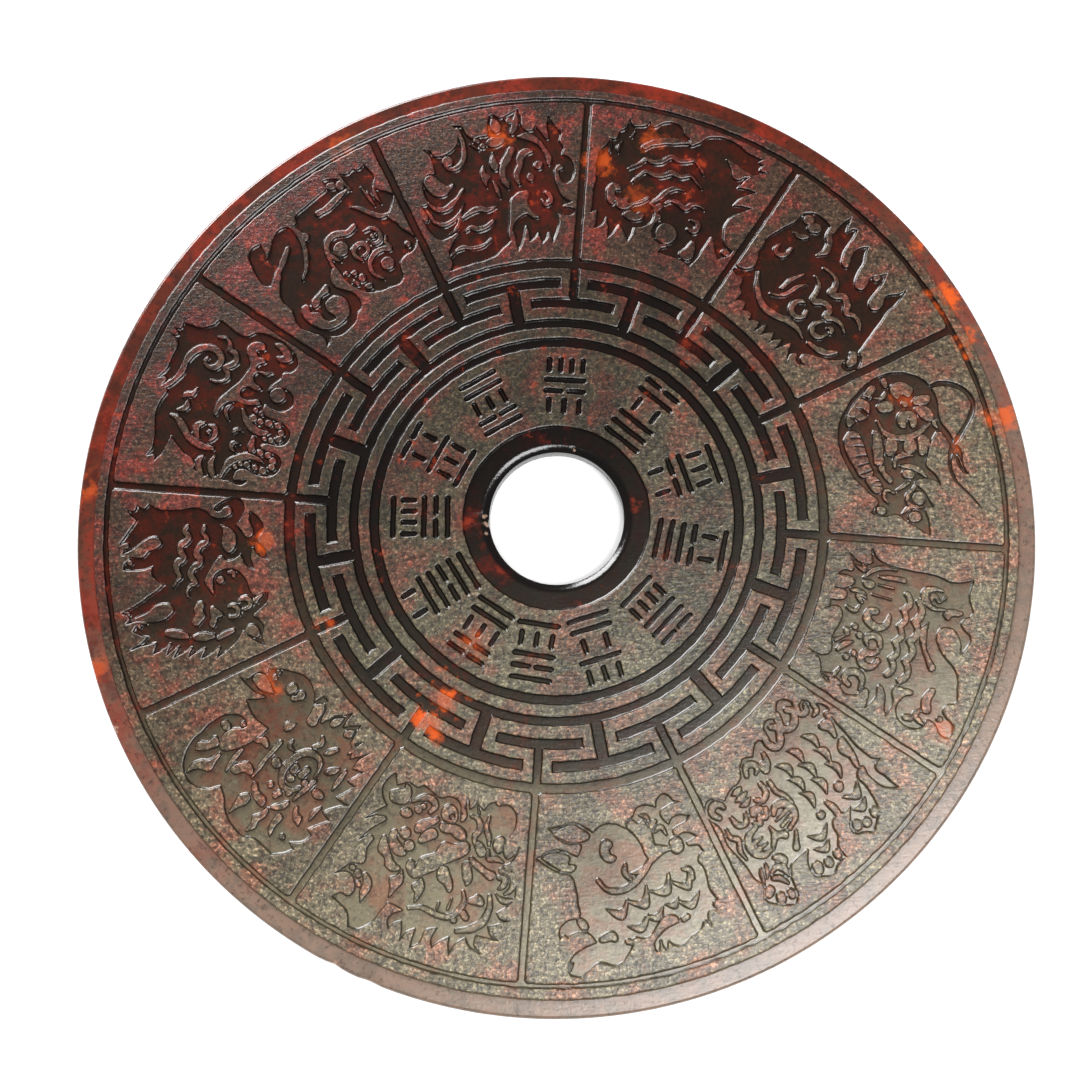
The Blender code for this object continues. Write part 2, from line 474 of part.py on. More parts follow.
def face_shapes():
    """Every outline on the carved face with its level. A later one is cut over an earlier one."""
    radii = band_radii()
    pitch = math.tau / PANEL_COUNT
    yield LOW, circle(OUTER_RADIUS - RIM_ROUNDING, RIM_SEGMENTS)
    yield HIGH, circle(radii["fillet"], RIM_SEGMENTS)
    yield LOW, circle(radii["groove"], RIM_SEGMENTS)
    centre_radius = (radii["panel"] + radii["outer_ground"]) / 2
    square = (radii["panel"] - radii["outer_ground"]) / GRID_SQUARES
    for k, animal in enumerate(ANIMALS):
        middle = FIRST_PANEL_ANGLE + k * pitch
        yield HIGH, panel_outline(radii["outer_ground"], radii["panel"], middle)
        for level, points in animal():
            yield level, place_in_panel(points, middle, centre_radius, square)
    yield HIGH, circle(radii["key_outer_bar"], RIM_SEGMENTS)
    yield from key_fret(radii, pitch)
    yield LOW, circle(radii["inner_ground"], RING_SEGMENTS)
    yield HIGH, circle(radii["ring"], RING_SEGMENTS)
    yield LOW, circle(radii["recess"], RING_SEGMENTS)
    yield HIGH, circle(radii["marks"], RING_SEGMENTS)
    yield from marks(radii, pitch)
    yield LOW, circle(radii["hole_ring"], HOLE_SEGMENTS)
    yield OPEN, circle(BORE_RADIUS + LIP_WIDTH, HOLE_SEGMENTS)


def anticlockwise(points):
    area = 0.0
    for (x0, y0), (x1, y1) in zip(points, points[1:] + points[:1]):
        area += x0 * y1 - x1 * y0
    return points if area > 0 else points[::-1]


def divide_face(shapes):
    """Triangles between all the outlines, each with the level of the last outline that holds it."""
    corners, loops, levels = [], [], []
    for level, points in shapes:
        points = anticlockwise(points)
        loops.append(list(range(len(corners), len(corners) + len(points))))
        corners += [Vector(point) for point in points]
        levels.append(level)
    found = delaunay_2d_cdt(corners, [], loops, 1, 1e-7)
    triangles = []
    for triangle, holders in zip(found[2], found[5]):
        level = levels[max(holders)] if holders else OPEN
        if level != OPEN:
            triangles.append((triangle, level))
    return found[0], triangles


def carve_face(mesh):
    """Adds the carved face with its upright walls. Returns the vertices of its two round edges."""
    points, triangles = divide_face(face_shapes())
    heights = {LOW: THICKNESS - RELIEF_DEPTH, HIGH: THICKNESS}
    corners = {}

    def corner(index, level):
        if (index, level) not in corners:
            x, y = points[index]
            corners[index, level] = mesh.verts.new((x, y, heights[level]))
        return corners[index, level]

    sides = {}
    for triangle, level in triangles:
        mesh.faces.new([corner(index, level) for index in triangle])
        for start, end in zip(triangle, triangle[1:] + triangle[:1]):
            sides[start, end] = level
    for (start, end), level in sides.items():
        if level == HIGH and sides.get((end, start)) == LOW:
            mesh.faces.new([corner(end, HIGH), corner(start, HIGH), corner(start, LOW), corner(end, LOW)])

    edges = {"rim": [], "lip": []}
    for start, end in sides:
        if (end, start) not in sides:
            near_rim = points[start].length > OUTER_RADIUS / 2
            edges["rim" if near_rim else "lip"].append(corners[start, LOW])
    for loop in edges.values():
        loop.sort(key=lambda vert: math.atan2(vert.co.y, vert.co.x) % math.tau)
    return edges["rim"], edges["lip"]


def turn_wall(mesh, top, profile, outwards):
    """Carries a ring of vertices through the radii and heights of a profile. Returns the last ring."""
    ring = top
    for radius, height in profile:
        lower = [mesh.verts.new((*vert.co.xy.normalized() * radius, height)) for vert in ring]
        for k in range(len(ring)):
            after = (k + 1) % len(ring)
            quad = [ring[k], lower[k], lower[after], ring[after]]
            mesh.faces.new(quad if outwards else quad[::-1])
        ring = lower
    return ring


def close_underside(mesh, rim, lip):
    """The flat underside between the rim and the hole, with its turned line."""
    rings = [rim]
    for side, depth in ((1, 0.0), (0, UNDER_LINE_DEPTH), (-1, 0.0)):
        radius = OUTER_RADIUS - UNDER_LINE_INSET + side * UNDER_LINE_WIDTH / 2
        rings.append([mesh.verts.new((x, y, depth)) for x, y in circle(radius, RIM_SEGMENTS)])
    rings.append(lip)
    verts = [vert for ring in rings for vert in ring]
    loops, first = [], 0
    for ring in rings:
        loops.append(list(range(first, first + len(ring))))
        first += len(ring)
    corners = [Vector(vert.co.xy) for vert in verts]
    found = delaunay_2d_cdt(corners, [], loops, 1, 1e-7)
    inside_hole = len(loops) - 1
    for triangle, holders in zip(found[2], found[5]):
        if inside_hole not in holders:
            mesh.faces.new([verts[found[3][index][0]] for index in reversed(triangle)])


def stone():
    material = bpy.data.materials.new("dark_red_stone")
    material.use_nodes = True
    shader = material.node_tree.nodes["Principled BSDF"]
    shader.inputs["Base Color"].default_value = (0.16, 0.07, 0.05, 1.0)
    shader.inputs["Roughness"].default_value = 0.45
    shader.inputs["Metallic"].default_value = 0.0
    return material


def bi_disc():
    mesh = bmesh.new()
    rim, lip = carve_face(mesh)
    low = THICKNESS - RELIEF_DEPTH
    rim = turn_wall(mesh, rim, [(OUTER_RADIUS, low - RIM_ROUNDING), (OUTER_RADIUS, RIM_ROUNDING),
                                (OUTER_RADIUS - RIM_ROUNDING, 0.0)], True)
    lip = turn_wall(mesh, lip, [(BORE_RADIUS, low - LIP_DROP), (BORE_RADIUS, RIM_ROUNDING),
                                (BORE_RADIUS + RIM_ROUNDING, 0.0)], False)
    close_underside(mesh, rim, lip)
    bmesh.ops.triangulate(mesh, faces=mesh.faces[:])
    data = bpy.data.meshes.new("bi_disc")
    mesh.to_mesh(data)
    mesh.free()
    data.materials.append(stone())
    disc = bpy.data.objects.new("bi_disc", data)
    bpy.context.scene.collection.objects.link(disc)
    return disc


for old in list(bpy.data.objects):
    bpy.data.objects.remove(old, do_unlink=True)
bi_disc()
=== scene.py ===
"""A carved stone bi disc: animals, key fret and rings cut in two levels in worn red-brown stone."""

import math

import bpy
import numpy as np
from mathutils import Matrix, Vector
from mathutils.geometry import delaunay_2d_cdt


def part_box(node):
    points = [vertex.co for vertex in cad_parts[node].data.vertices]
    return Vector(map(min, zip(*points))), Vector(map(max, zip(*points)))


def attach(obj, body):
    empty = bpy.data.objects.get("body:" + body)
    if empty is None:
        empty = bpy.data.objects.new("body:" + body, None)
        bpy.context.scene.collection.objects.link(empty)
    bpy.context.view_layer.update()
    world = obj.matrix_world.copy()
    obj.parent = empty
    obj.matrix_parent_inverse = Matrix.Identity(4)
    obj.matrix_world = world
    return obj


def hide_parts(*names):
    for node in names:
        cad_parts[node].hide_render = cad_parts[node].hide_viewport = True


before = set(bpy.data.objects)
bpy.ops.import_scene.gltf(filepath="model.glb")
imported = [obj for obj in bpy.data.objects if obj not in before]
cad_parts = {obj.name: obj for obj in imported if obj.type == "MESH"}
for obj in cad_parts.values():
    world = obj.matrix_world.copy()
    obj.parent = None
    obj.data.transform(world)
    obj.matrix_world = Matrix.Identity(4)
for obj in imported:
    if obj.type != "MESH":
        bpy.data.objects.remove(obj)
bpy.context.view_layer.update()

MM = 0.001

# The plain disc, from the frame. All the carving below is worked out in millimetres.
OUTER_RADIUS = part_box("bi_disc")[1][0] / MM
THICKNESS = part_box("bi_disc")[1][2] / MM
BORE_RADIUS = 16.2
RIM_ROUNDING = 0.9
LIP_WIDTH = 1.9
LIP_DROP = 1.1
RELIEF_DEPTH = 0.7
LIP_RADIUS = BORE_RADIUS + LIP_WIDTH

# Radii of the bands, as shares of the disc's radius.
FILLET_OUTER = 0.961
FILLET_INNER = 0.942
PANEL_OUTER = 0.931
PANEL_INNER = 0.5675
KEY_RADII = (0.5458, 0.5245, 0.5016, 0.4795, 0.4574, 0.432)
RING_OUTER = 0.4126
RING_INNER = 0.390
MARKS_OUTER = 0.369
MARKS_INNER = 0.1957

MARKS_MIDDLE = 0.2835
MARK_STROKE = 1.3
MARK_WIDTH = 11.0
MARK_GAP = 0.95
MARK_BAR_ROW = 2.8
MARK_UPRIGHT_ROW = 4.6

# What repeats round the disc.
PANEL_COUNT = 12
PITCH = math.tau / PANEL_COUNT
FIRST_PANEL_ANGLE = math.radians(9.8)
DIVIDER_WIDTH = 1.9
PANEL_CORNER = 0.5
KEY_OUTER_STEM = 2.2
KEY_INNER_STEM = 3.0
KEY_UPPER_REACH = 0.39
KEY_LOWER_REACH = 0.363

# The carving grid: its spacing, and how far from an edge the distance is followed.
SPACING = 0.12
REACH = 0.8

# The walls as steps of (distance from the edge, depth), and how far a hand-cut edge wanders.
WALL_STEPS = ((-0.26, 0.0), (-0.04, 0.1), (0.1, 0.5), (0.4, 0.7))
WOBBLE = 0.05

# The drawing of the animals: squares across a panel, and the share of a line in which an end narrows.
GRID_SQUARES = 42.0
TAPER_SHARE = 0.35

# How finely curves are drawn.
ARC_STEP = math.radians(1)
CURVE_TOLERANCE = 0.02
CURVE_STEPS = 4
WAVE_STEPS = 8
CRESCENT_STEPS = 10
RIM_SEGMENTS = 360

# The turned surfaces: how close points join, how uneven they are, and where shading breaks.
JOIN_DISTANCE = 0.01
UNEVENNESS = 0.06
UNEVENNESS_SEED = 3.0
SHARP_ANGLE = math.radians(32)

# The plain underside has one shallow turned line near its edge.
UNDER_LINE_WIDTH = 1.2
UNDER_LINE_DEPTH = 0.3
UNDER_LINE_INSET = 8.0

# The two levels of the face.
LOW, HIGH = "low", "high"


class Relief:
    """A grid over the disc with the distance of each spot from the nearest carved edge.

    The distance is below zero where the face is cut down to the lower level.
    """

    def __init__(self):
        self.origin = -OUTER_RADIUS - 1.0
        count = int(2 * -self.origin / SPACING) + 1
        self.line = (self.origin + SPACING * np.arange(count)).astype(np.float32)
        self.field = np.full((count, count), REACH, np.float32)

    def window(self, low, high):
        """The rows and columns from one corner to another, and the places of their spots."""
        columns, rows = [slice(max(0, int((a - self.origin) / SPACING)),
                               max(0, int((b - self.origin) / SPACING) + 2)) for a, b in zip(low, high)]
        return (rows, columns), self.line[columns][None, :], self.line[rows][:, None]

    def cut(self, level, part, distance):
        """Cuts a shape down, or leaves it standing, where its distance is below zero."""
        if level == LOW:
            self.field[part] = np.minimum(self.field[part], distance)
        else:
            self.field[part] = np.maximum(self.field[part], -distance)

    def rings(self, *edges):
        """Round bands from the rim inwards, each given by its outer radius and level."""
        radius = np.hypot(self.line[None, :], self.line[:, None])
        for outer, level in edges:
            self.cut(level, slice(None), np.clip(radius - outer, -REACH, REACH))

    def line_segment(self, level, start, end, start_half, end_half):
        """One straight stretch of a line whose half width changes evenly."""
        (x0, y0), (x1, y1) = start, end
        margin = max(start_half, end_half) + REACH
        part, x, y = self.window((min(x0, x1) - margin, min(y0, y1) - margin),
                                 (max(x0, x1) + margin, max(y0, y1) + margin))
        dx, dy = x1 - x0, y1 - y0
        share = np.clip(((x - x0) * dx + (y - y0) * dy) / max(dx * dx + dy * dy, 1e-9), 0, 1)
        away = np.hypot(x - x0 - share * dx, y - y0 - share * dy)
        self.cut(level, part, away - start_half - share * (end_half - start_half))

    def line_through(self, level, points, halves):
        for k in range(len(points) - 1):
            self.line_segment(level, points[k], points[k + 1], halves[k], halves[k + 1])

    def area(self, level, points):
        """A closed outline, cut down or left standing."""
        xs, ys = zip(*points)
        part, x, y = self.window((min(xs) - REACH, min(ys) - REACH), (max(xs) + REACH, max(ys) + REACH))
        distance = np.full((y.size, x.size), REACH, np.float32)
        crossings = np.zeros((y.size, x.size + 1), np.int32)
        left, bottom = x[0, 0], y[0, 0]
        for (x0, y0), (x1, y1) in zip(points, points[1:] + points[:1]):
            first = max(0, int((min(x0, x1) - REACH - left) / SPACING))
            last = int((max(x0, x1) + REACH - left) / SPACING) + 2
            lower = max(0, int((min(y0, y1) - REACH - bottom) / SPACING))
            upper = int((max(y0, y1) + REACH - bottom) / SPACING) + 2
            near_x, near_y = x[:, first:last] - x0, y[lower:upper] - y0
            dx, dy = x1 - x0, y1 - y0
            share = np.clip((near_x * dx + near_y * dy) / max(dx * dx + dy * dy, 1e-9), 0, 1)
            away = np.hypot(near_x - share * dx, near_y - share * dy)
            distance[lower:upper, first:last] = np.minimum(distance[lower:upper, first:last], away)
            start = math.ceil((min(y0, y1) - bottom) / SPACING)
            end = math.ceil((max(y0, y1) - bottom) / SPACING)
            if end > start:
                rows = np.arange(start, end)
                meets = x0 + (bottom + rows * SPACING - y0) * dx / dy
                columns = np.ceil((meets - left) / SPACING).astype(int)
                np.add.at(crossings, (rows, np.clip(columns, 0, x.size)), 1)
        inside = np.cumsum(crossings[:, :-1], axis=1) % 2 == 1
        self.cut(level, part, np.where(inside, -distance, distance))

    def loosen(self):
        """Lets every edge wander a little, as hand-cut edges do."""
        generator = np.random.default_rng(7)
        x, y = self.line[None, :], self.line[:, None]
        for _ in range(7):
            angle, turn = generator.uniform(0, math.tau, 2)
            wave = generator.uniform(0.7, 2.0)
            self.field += WOBBLE / 2 * np.sin(wave * (x * math.cos(angle) + y * math.sin(angle)) + turn)

    def contours(self, value):
        """Closed loops of points where the distance has one value."""
        field = self.field - np.float32(value)
        below = field < 0
        count = len(self.line)
        across = below[:, :-1] != below[:, 1:]
        up = below[:-1, :] != below[1:, :]
        sides = np.stack([across[:-1], up[:, 1:], across[1:], up[:, :-1]])
        number = sides.sum(axis=0)
        row, column = np.nonzero(number)
        here = row * count + column
        names = np.stack([here, here + 1 + count * count, here + count, here + count * count])
        crossed = sides[:, row, column]
        saddle = crossed.all(axis=0)
        pairs = []
        order = np.argsort(~crossed[:, ~saddle], axis=0, kind="stable")[:2]
        plain = names[:, ~saddle]
        pairs.append(np.take_along_axis(plain, order, axis=0).T)
        middle = (field[row, column] + field[row, column + 1] + field[row + 1, column]
                  + field[row + 1, column + 1])[saddle] < 0
        same = middle == below[row, column][saddle]
        corner_names = names[:, saddle]
        pairs.append(np.where(same, corner_names[[0, 1]], corner_names[[0, 3]]).T)
        pairs.append(np.where(same, corner_names[[2, 3]], corner_names[[1, 2]]).T)
        neighbours = {}
        for a, b in np.concatenate(pairs).tolist():
            neighbours.setdefault(a, []).append(b)
            neighbours.setdefault(b, []).append(a)
        loops = []
        while neighbours:
            first = next(iter(neighbours))
            loop, here = [first], neighbours.pop(first)[0]
            while here != first:
                loop.append(here)
                a, b = neighbours.pop(here)
                here = a if a != loop[-2] else b
            loops.append(self.places(np.array(loop), field, count))
        return loops

    def depth(self, place):
        """How deep the wall is at a spot."""
        column, row = [min(len(self.line) - 1, int((value - self.origin) / SPACING)) for value in place]
        distances, depths = zip(*WALL_STEPS)
        return float(np.interp(-self.field[row, column], distances, depths))

    def places(self, names, field, count):
        """Where the value is met on each named grid line."""
        upright = names >= count * count
        row, column = np.divmod(names % (count * count), count)
        other_row, other_column = row + upright, column + ~upright
        near, far = field[row, column], field[other_row, other_column]
        share = near / (near - far)
        return np.stack([self.line[column] + share * (self.line[other_column] - self.line[column]),
                         self.line[row] + share * (self.line[other_row] - self.line[row])], axis=1)


def thin(points, tolerance):
    """The corners of a closed loop that its curves need."""
    far = int(np.argmax(np.hypot(*(points - points[0]).T)))
    closed = np.concatenate([points, points[:1]])
    keep = np.zeros(len(closed), bool)
    keep[[0, far]] = True
    spans = [(0, far), (far, len(closed) - 1)]
    while spans:
        start, end = spans.pop()
        if end - start < 2:
            continue
        chord = closed[end] - closed[start]
        inner = closed[start + 1:end] - closed[start]
        length = max(float(np.hypot(*chord)), 1e-6)
        away = np.abs(inner[:, 0] * chord[1] - inner[:, 1] * chord[0]) / length
        worst = int(np.argmax(away))
        if away[worst] > tolerance:
            keep[start + 1 + worst] = True
            spans += [(start, start + 1 + worst), (start + 1 + worst, end)]
    return closed[:-1][keep[:-1]]


def polar(radius, angle):
    return (radius * math.cos(angle), radius * math.sin(angle))


def arc(radius, start, end):
    count = max(1, round(abs(end - start) / ARC_STEP))
    return [polar(radius, start + (end - start) * k / count) for k in range(count + 1)]


def ring_piece(inner, outer, start, end):
    return arc(outer, start, end) + arc(inner, end, start)


def radial_bar(inner, outer, angle, width):
    across = Vector((-math.sin(angle), math.cos(angle))) * width / 2
    near, far = Vector(polar(inner, angle)), Vector(polar(outer, angle))
    return [tuple(near - across), tuple(far - across), tuple(far + across), tuple(near + across)]


def panel_outline(inner, outer, middle):
    """One panel, whose sides keep half a divider's width from the dividing radius."""
    points = []
    for radius, turn in ((outer, 1), (inner, -1)):
        next_radius = radius - turn * PANEL_CORNER
        reach = PITCH / 2 - math.asin(DIVIDER_WIDTH / 2 / radius)
        next_reach = PITCH / 2 - math.asin(DIVIDER_WIDTH / 2 / next_radius)
        corner = PANEL_CORNER / radius
        points.append(polar(next_radius, middle - turn * next_reach))
        points += arc(radius, middle - turn * (reach - corner), middle + turn * (reach - corner))
        points.append(polar(next_radius, middle + turn * next_reach))
    return points


def rounded(points, closed=True):
    """A smooth curve through points. A point with a third value is kept as a sharp corner."""
    count = len(points)
    curve = []
    for k in range(count if closed else count - 1):
        before, start = points[(k - 1) % count], points[k]
        end, after = points[(k + 1) % count], points[(k + 2) % count]
        if not closed and k == 0:
            before = start
        if not closed and k == count - 2:
            after = end
        chord = Vector(end[:2]) - Vector(start[:2])
        out = chord if len(start) > 2 else slope(before, start, end) * chord.length
        into = chord if len(end) > 2 else slope(start, end, after) * chord.length
        for step in range(CURVE_STEPS):
            t = step / CURVE_STEPS
            place = (Vector(start[:2]) * (2 * t ** 3 - 3 * t ** 2 + 1) + out * (t ** 3 - 2 * t ** 2 + t)
                     + Vector(end[:2]) * (3 * t ** 2 - 2 * t ** 3) + into * (t ** 3 - t ** 2))
            curve.append(tuple(place))
    if not closed:
        curve.append(tuple(points[-1][:2]))
    return curve


def slope(before, here, after):
    """The direction of a smooth curve at a point, between the directions of its two chords."""
    back, ahead = Vector(here[:2]) - Vector(before[:2]), Vector(after[:2]) - Vector(here[:2])
    if back.length < 1e-6 or ahead.length < 1e-6:
        return (back + ahead).normalized()
    way = back.normalized() / back.length + ahead.normalized() / ahead.length
    return way.normalized() if way.length > 1e-6 else ahead.normalized()


class Panel:
    """Draws one animal on its panel, on a grid of squares.

    X runs along the panel, anticlockwise round the disc, and Y towards the disc's centre.
    """

    def __init__(self, relief, middle, centre=OUTER_RADIUS * (PANEL_OUTER + PANEL_INNER) / 2,
                 square=OUTER_RADIUS * (PANEL_OUTER - PANEL_INNER) / GRID_SQUARES):
        self.relief = relief
        self.middle = middle
        self.centre = centre
        self.square = square

    def place(self, points):
        placed = []
        for x, y, *_ in points:
            away = self.centre - y * self.square
            side = x * self.square
            placed.append((away * math.cos(self.middle) - side * math.sin(self.middle),
                           away * math.sin(self.middle) + side * math.cos(self.middle)))
        return placed

    def hollow(self, *points):
        """A closed area cut down."""
        self.relief.area(LOW, self.place(rounded(points)))

    def island(self, *points):
        """A closed area left standing."""
        self.relief.area(HIGH, self.place(rounded(points)))

    def groove(self, width, *points, tip=0.3, tail=0.3):
        self.line(LOW, points, width, tip, tail)

    def ridge(self, width, *points, tip=0.3, tail=0.3):
        self.line(HIGH, points, width, tip, tail)

    def line(self, level, points, width, tip, tail):
        """A line that narrows to shares of its width at its two ends."""
        path = rounded(points, closed=False) if len(points) > 2 else points
        halves = []
        for k in range(len(path)):
            share = k / (len(path) - 1)
            start = tip + (1 - tip) * min(1.0, share / TAPER_SHARE)
            end = tail + (1 - tail) * min(1.0, (1 - share) / TAPER_SHARE)
            halves.append(width * self.square / 2 * min(start, end))
        self.relief.line_through(level, self.place(path), halves)

    def waves(self, level, start, end, count, height, width):
        """A scalloped ribbon: hanging loops between two points, each a shallow arch."""
        start, end = Vector(start), Vector(end)
        along = (end - start).normalized()
        down = Vector((-along.y, along.x))
        path = []
        for k in range(WAVE_STEPS * count + 1):
            swing = abs(math.sin(math.pi * k / WAVE_STEPS)) ** 0.8
            path.append(tuple(start + (end - start) * k / (WAVE_STEPS * count) + down * height * swing))
        halves = [width * self.square / 2] * len(path)
        self.relief.line_through(level, self.place(path), halves)

    def crescent(self, start, end, outer, inner):
        """A crescent between two tips, whose two edges hang from the line between them."""
        start, end = Vector(start), Vector(end)
        along = (end - start).normalized()
        down = Vector((along.y, -along.x))
        edges = []
        for hang, steps in ((outer, range(CRESCENT_STEPS + 1)), (inner, range(CRESCENT_STEPS - 1, 0, -1))):
            for k in steps:
                swing = math.sin(math.pi * k / CRESCENT_STEPS)
                edges.append(tuple(start + (end - start) * k / CRESCENT_STEPS + down * hang * swing))
        self.relief.area(HIGH, self.place(edges))

    def bead(self, x, y, radius, stretch=1.0, lean=0.0, level=HIGH):
        """A bead or toe pad, stretched along a direction in degrees."""
        half = radius * (stretch - 1) + 0.01
        dx, dy = half * math.cos(math.radians(lean)), half * math.sin(math.radians(lean))
        ends = self.place([(x - dx, y - dy), (x + dx, y + dy)])
        self.relief.line_through(level, ends, [radius * self.square] * 2)

    def beads(self, *rows):
        """Several beads, each given as for one."""
        for row in rows:
            self.bead(*row)


def rat(panel):
    panel.hollow((-21.6, -0.8, 1), (-19.2, 1.6), (-16.6, 4.6), (-15.1, 5.4), (-14.9, 9.6), (-13.2, 12.1, 1),
                 (-12.2, 11), (-11, 9.7), (-8.2, 11.6), (-4, 14.1), (0.5, 15.5), (4.6, 15.9), (9, 15),
                 (13, 12.5), (17, 8), (19.6, 3), (20, -1), (18.8, -5.5), (15.4, -9.3), (11, -10.3),
                 (6, -9.8), (2.6, -11.4), (0.4, -11.9), (-1.8, -13), (-7.4, -13.1), (-8.6, -13.8, 1),
                 (-8, -12.3), (-5, -11.3), (-1, -10.7), (3.2, -8.3), (2.4, -7.4), (-1.5, -5), (-4.4, -3.9),
                 (-7, -5.6), (-11, -6.6, 1), (-8.2, -4.6), (-7.6, -2.6), (-7.9, -0.3), (-10, -1.6),
                 (-14.9, -3.3, 1), (-14.6, -1.6), (-18, -1.5))
    panel.groove(1.3, (14.7, -9), (15, -12), (13.8, -15.4), (11.6, -17.8), (8.8, -18.7), (6, -17.6),
                 (3.6, -15.6), (1, -13.2), (-1.6, -10.8), (-5.4, -9.5), (-9, -9.8), (-13, -12.2),
                 (-17.4, -14.6), tip=1, tail=0.2)
    panel.island((-4.3, 9.6), (-4.5, 11.9), (-1.5, 13.4), (2.2, 14.4), (6.4, 13.6), (7.4, 12), (6, 10.4),
                 (3, 9.9), (-1, 9.7))
    for x, lean in ((-3.2, -0.3), (-1.2, -0.2), (0.6, 0.2), (2.8, 0.5), (4.8, 0.6)):
        panel.groove(0.5, (x, 9.4), (x + lean, 11.2), (x + 1.4 * lean, 12.6), tip=1)
    panel.island((8.6, 12.6), (10.6, 12.6), (13.5, 10.4), (16, 7.2), (17.6, 4.2), (17.2, 3.8), (14.6, 6),
                 (12, 6.4), (9.8, 8), (9.4, 10.6))
    for x, y in ((10.6, 7.4), (13.2, 5.6), (8.8, 9.8)):
        panel.groove(0.9, (x, y), (x + 1.2, y + 0.8), (x + 2.2, y + 2.2), tip=1, tail=0.1)
    panel.island((16.4, 1.2), (17.6, 2.2), (19, 1.4), (17.4, 0.8))
    panel.island((-8.8, 9.6), (-6.6, 11), (-4.9, 11.3), (-4.9, 8.9), (-6.4, 8), (-8.4, 8.2))
    for x in (-7.4, -6.2):
        panel.groove(0.45, (x, 7.8), (x + 0.3, 9.4), tip=1)
    panel.island((-6.8, 5.4), (-4.6, 7.2), (-2.5, 7.6), (-2.5, 6.3), (-4.2, 6.2), (-6.2, 5))
    panel.island((-2.1, 7.9), (1, 8.1), (4, 7.5), (6.4, 6), (5.4, 5.4), (2.6, 5.4), (0, 5.8), (-2.1, 6.6))
    panel.ridge(1.5, (8.6, 5.2), (5.4, 4.2), (3.7, 1.6), (3.4, -1.6), (4.2, -4.6), (5.6, -7), tip=0.4)
    panel.island((-0.4, 4.7), (2.4, 4.7), (4.2, 3.6), (3, 1.9), (0.4, 2.7))
    panel.island((-0.8, -0.2), (2.7, -0.2), (2.8, -2), (-0.2, -2.2))
    panel.island((-1.7, -3.3), (0.6, -3.2), (2.8, -3.6), (3, -5.6), (1.2, -6), (-0.8, -4.9))
    panel.ridge(1.1, (-3.4, 3.8), (-1.6, 3.2), (-0.9, 0.6), (-1.4, -1.2))
    panel.ridge(1.2, (-7.2, -3.2), (-5.2, -1.8), (-3.8, 0.4), (-3.4, 2.2))
    panel.beads((-5.7, 0.9, 1.0, 1.5, 70), (-11.9, -0.2, 1.6))
    panel.ridge(0.7, (-14.2, -0.8), (-14, 1.2), (-12.6, 2.6), (-10.6, 2.2), (-9.4, 0.4), (-8.6, -0.2))
    panel.bead(-16.2, 1.8, 1.2, 1.3, 80)
    panel.ridge(0.6, (-14.9, 4.6), (-13.8, 2.6), (-13.6, 0.8))
    panel.bead(-13.2, 9.4, 0.9, 1.3, 70)
    panel.ridge(0.7, (-11.6, 7.4), (-10.2, 8), (-8.6, 7.2), (-9.6, 5.4))
    panel.ridge(0.7, (-9, 4.4), (-8.4, 2.8), (-7.8, 1.2))
    panel.island((11.2, 0.6), (10.4, 2.4), (11, 4.2), (12.4, 4.4), (13.2, 2.6), (12.6, 0.8))
    panel.island((13.2, -0.6), (14.6, 0.4), (16.6, 0.2), (17.3, -1.4), (16.4, -4), (14.8, -5), (13.2, -3.4),
                 (14.3, -2.2))
    panel.island((11.6, -4.2), (12.6, -5), (13, -7), (12.4, -8.7), (11.2, -8.4), (10.6, -6.4))
    panel.island((10.2, -4.6), (8.2, -5), (6.6, -6.4), (6.4, -8), (8, -8.4), (9.8, -7.4), (10.6, -5.8))
    panel.island((9.8, -2.6), (8.6, -4.2), (6.2, -4), (5.4, -2.8), (7.6, -1.9), (5.8, -0.9), (6.6, 0.3),
                 (8.8, 0.2), (9.8, -1))
    panel.bead(11.6, -2.3, 0.8)
    panel.ridge(0.7, (14.4, 5), (14.2, 2.6), (15.4, 1.6))
    panel.ridge(0.9, (4.4, -8.6), (5.8, -8.2), (6.4, -9.2))
    panel.ridge(0.6, (-3.4, -12), (-6.6, -12.4), tip=0.6)


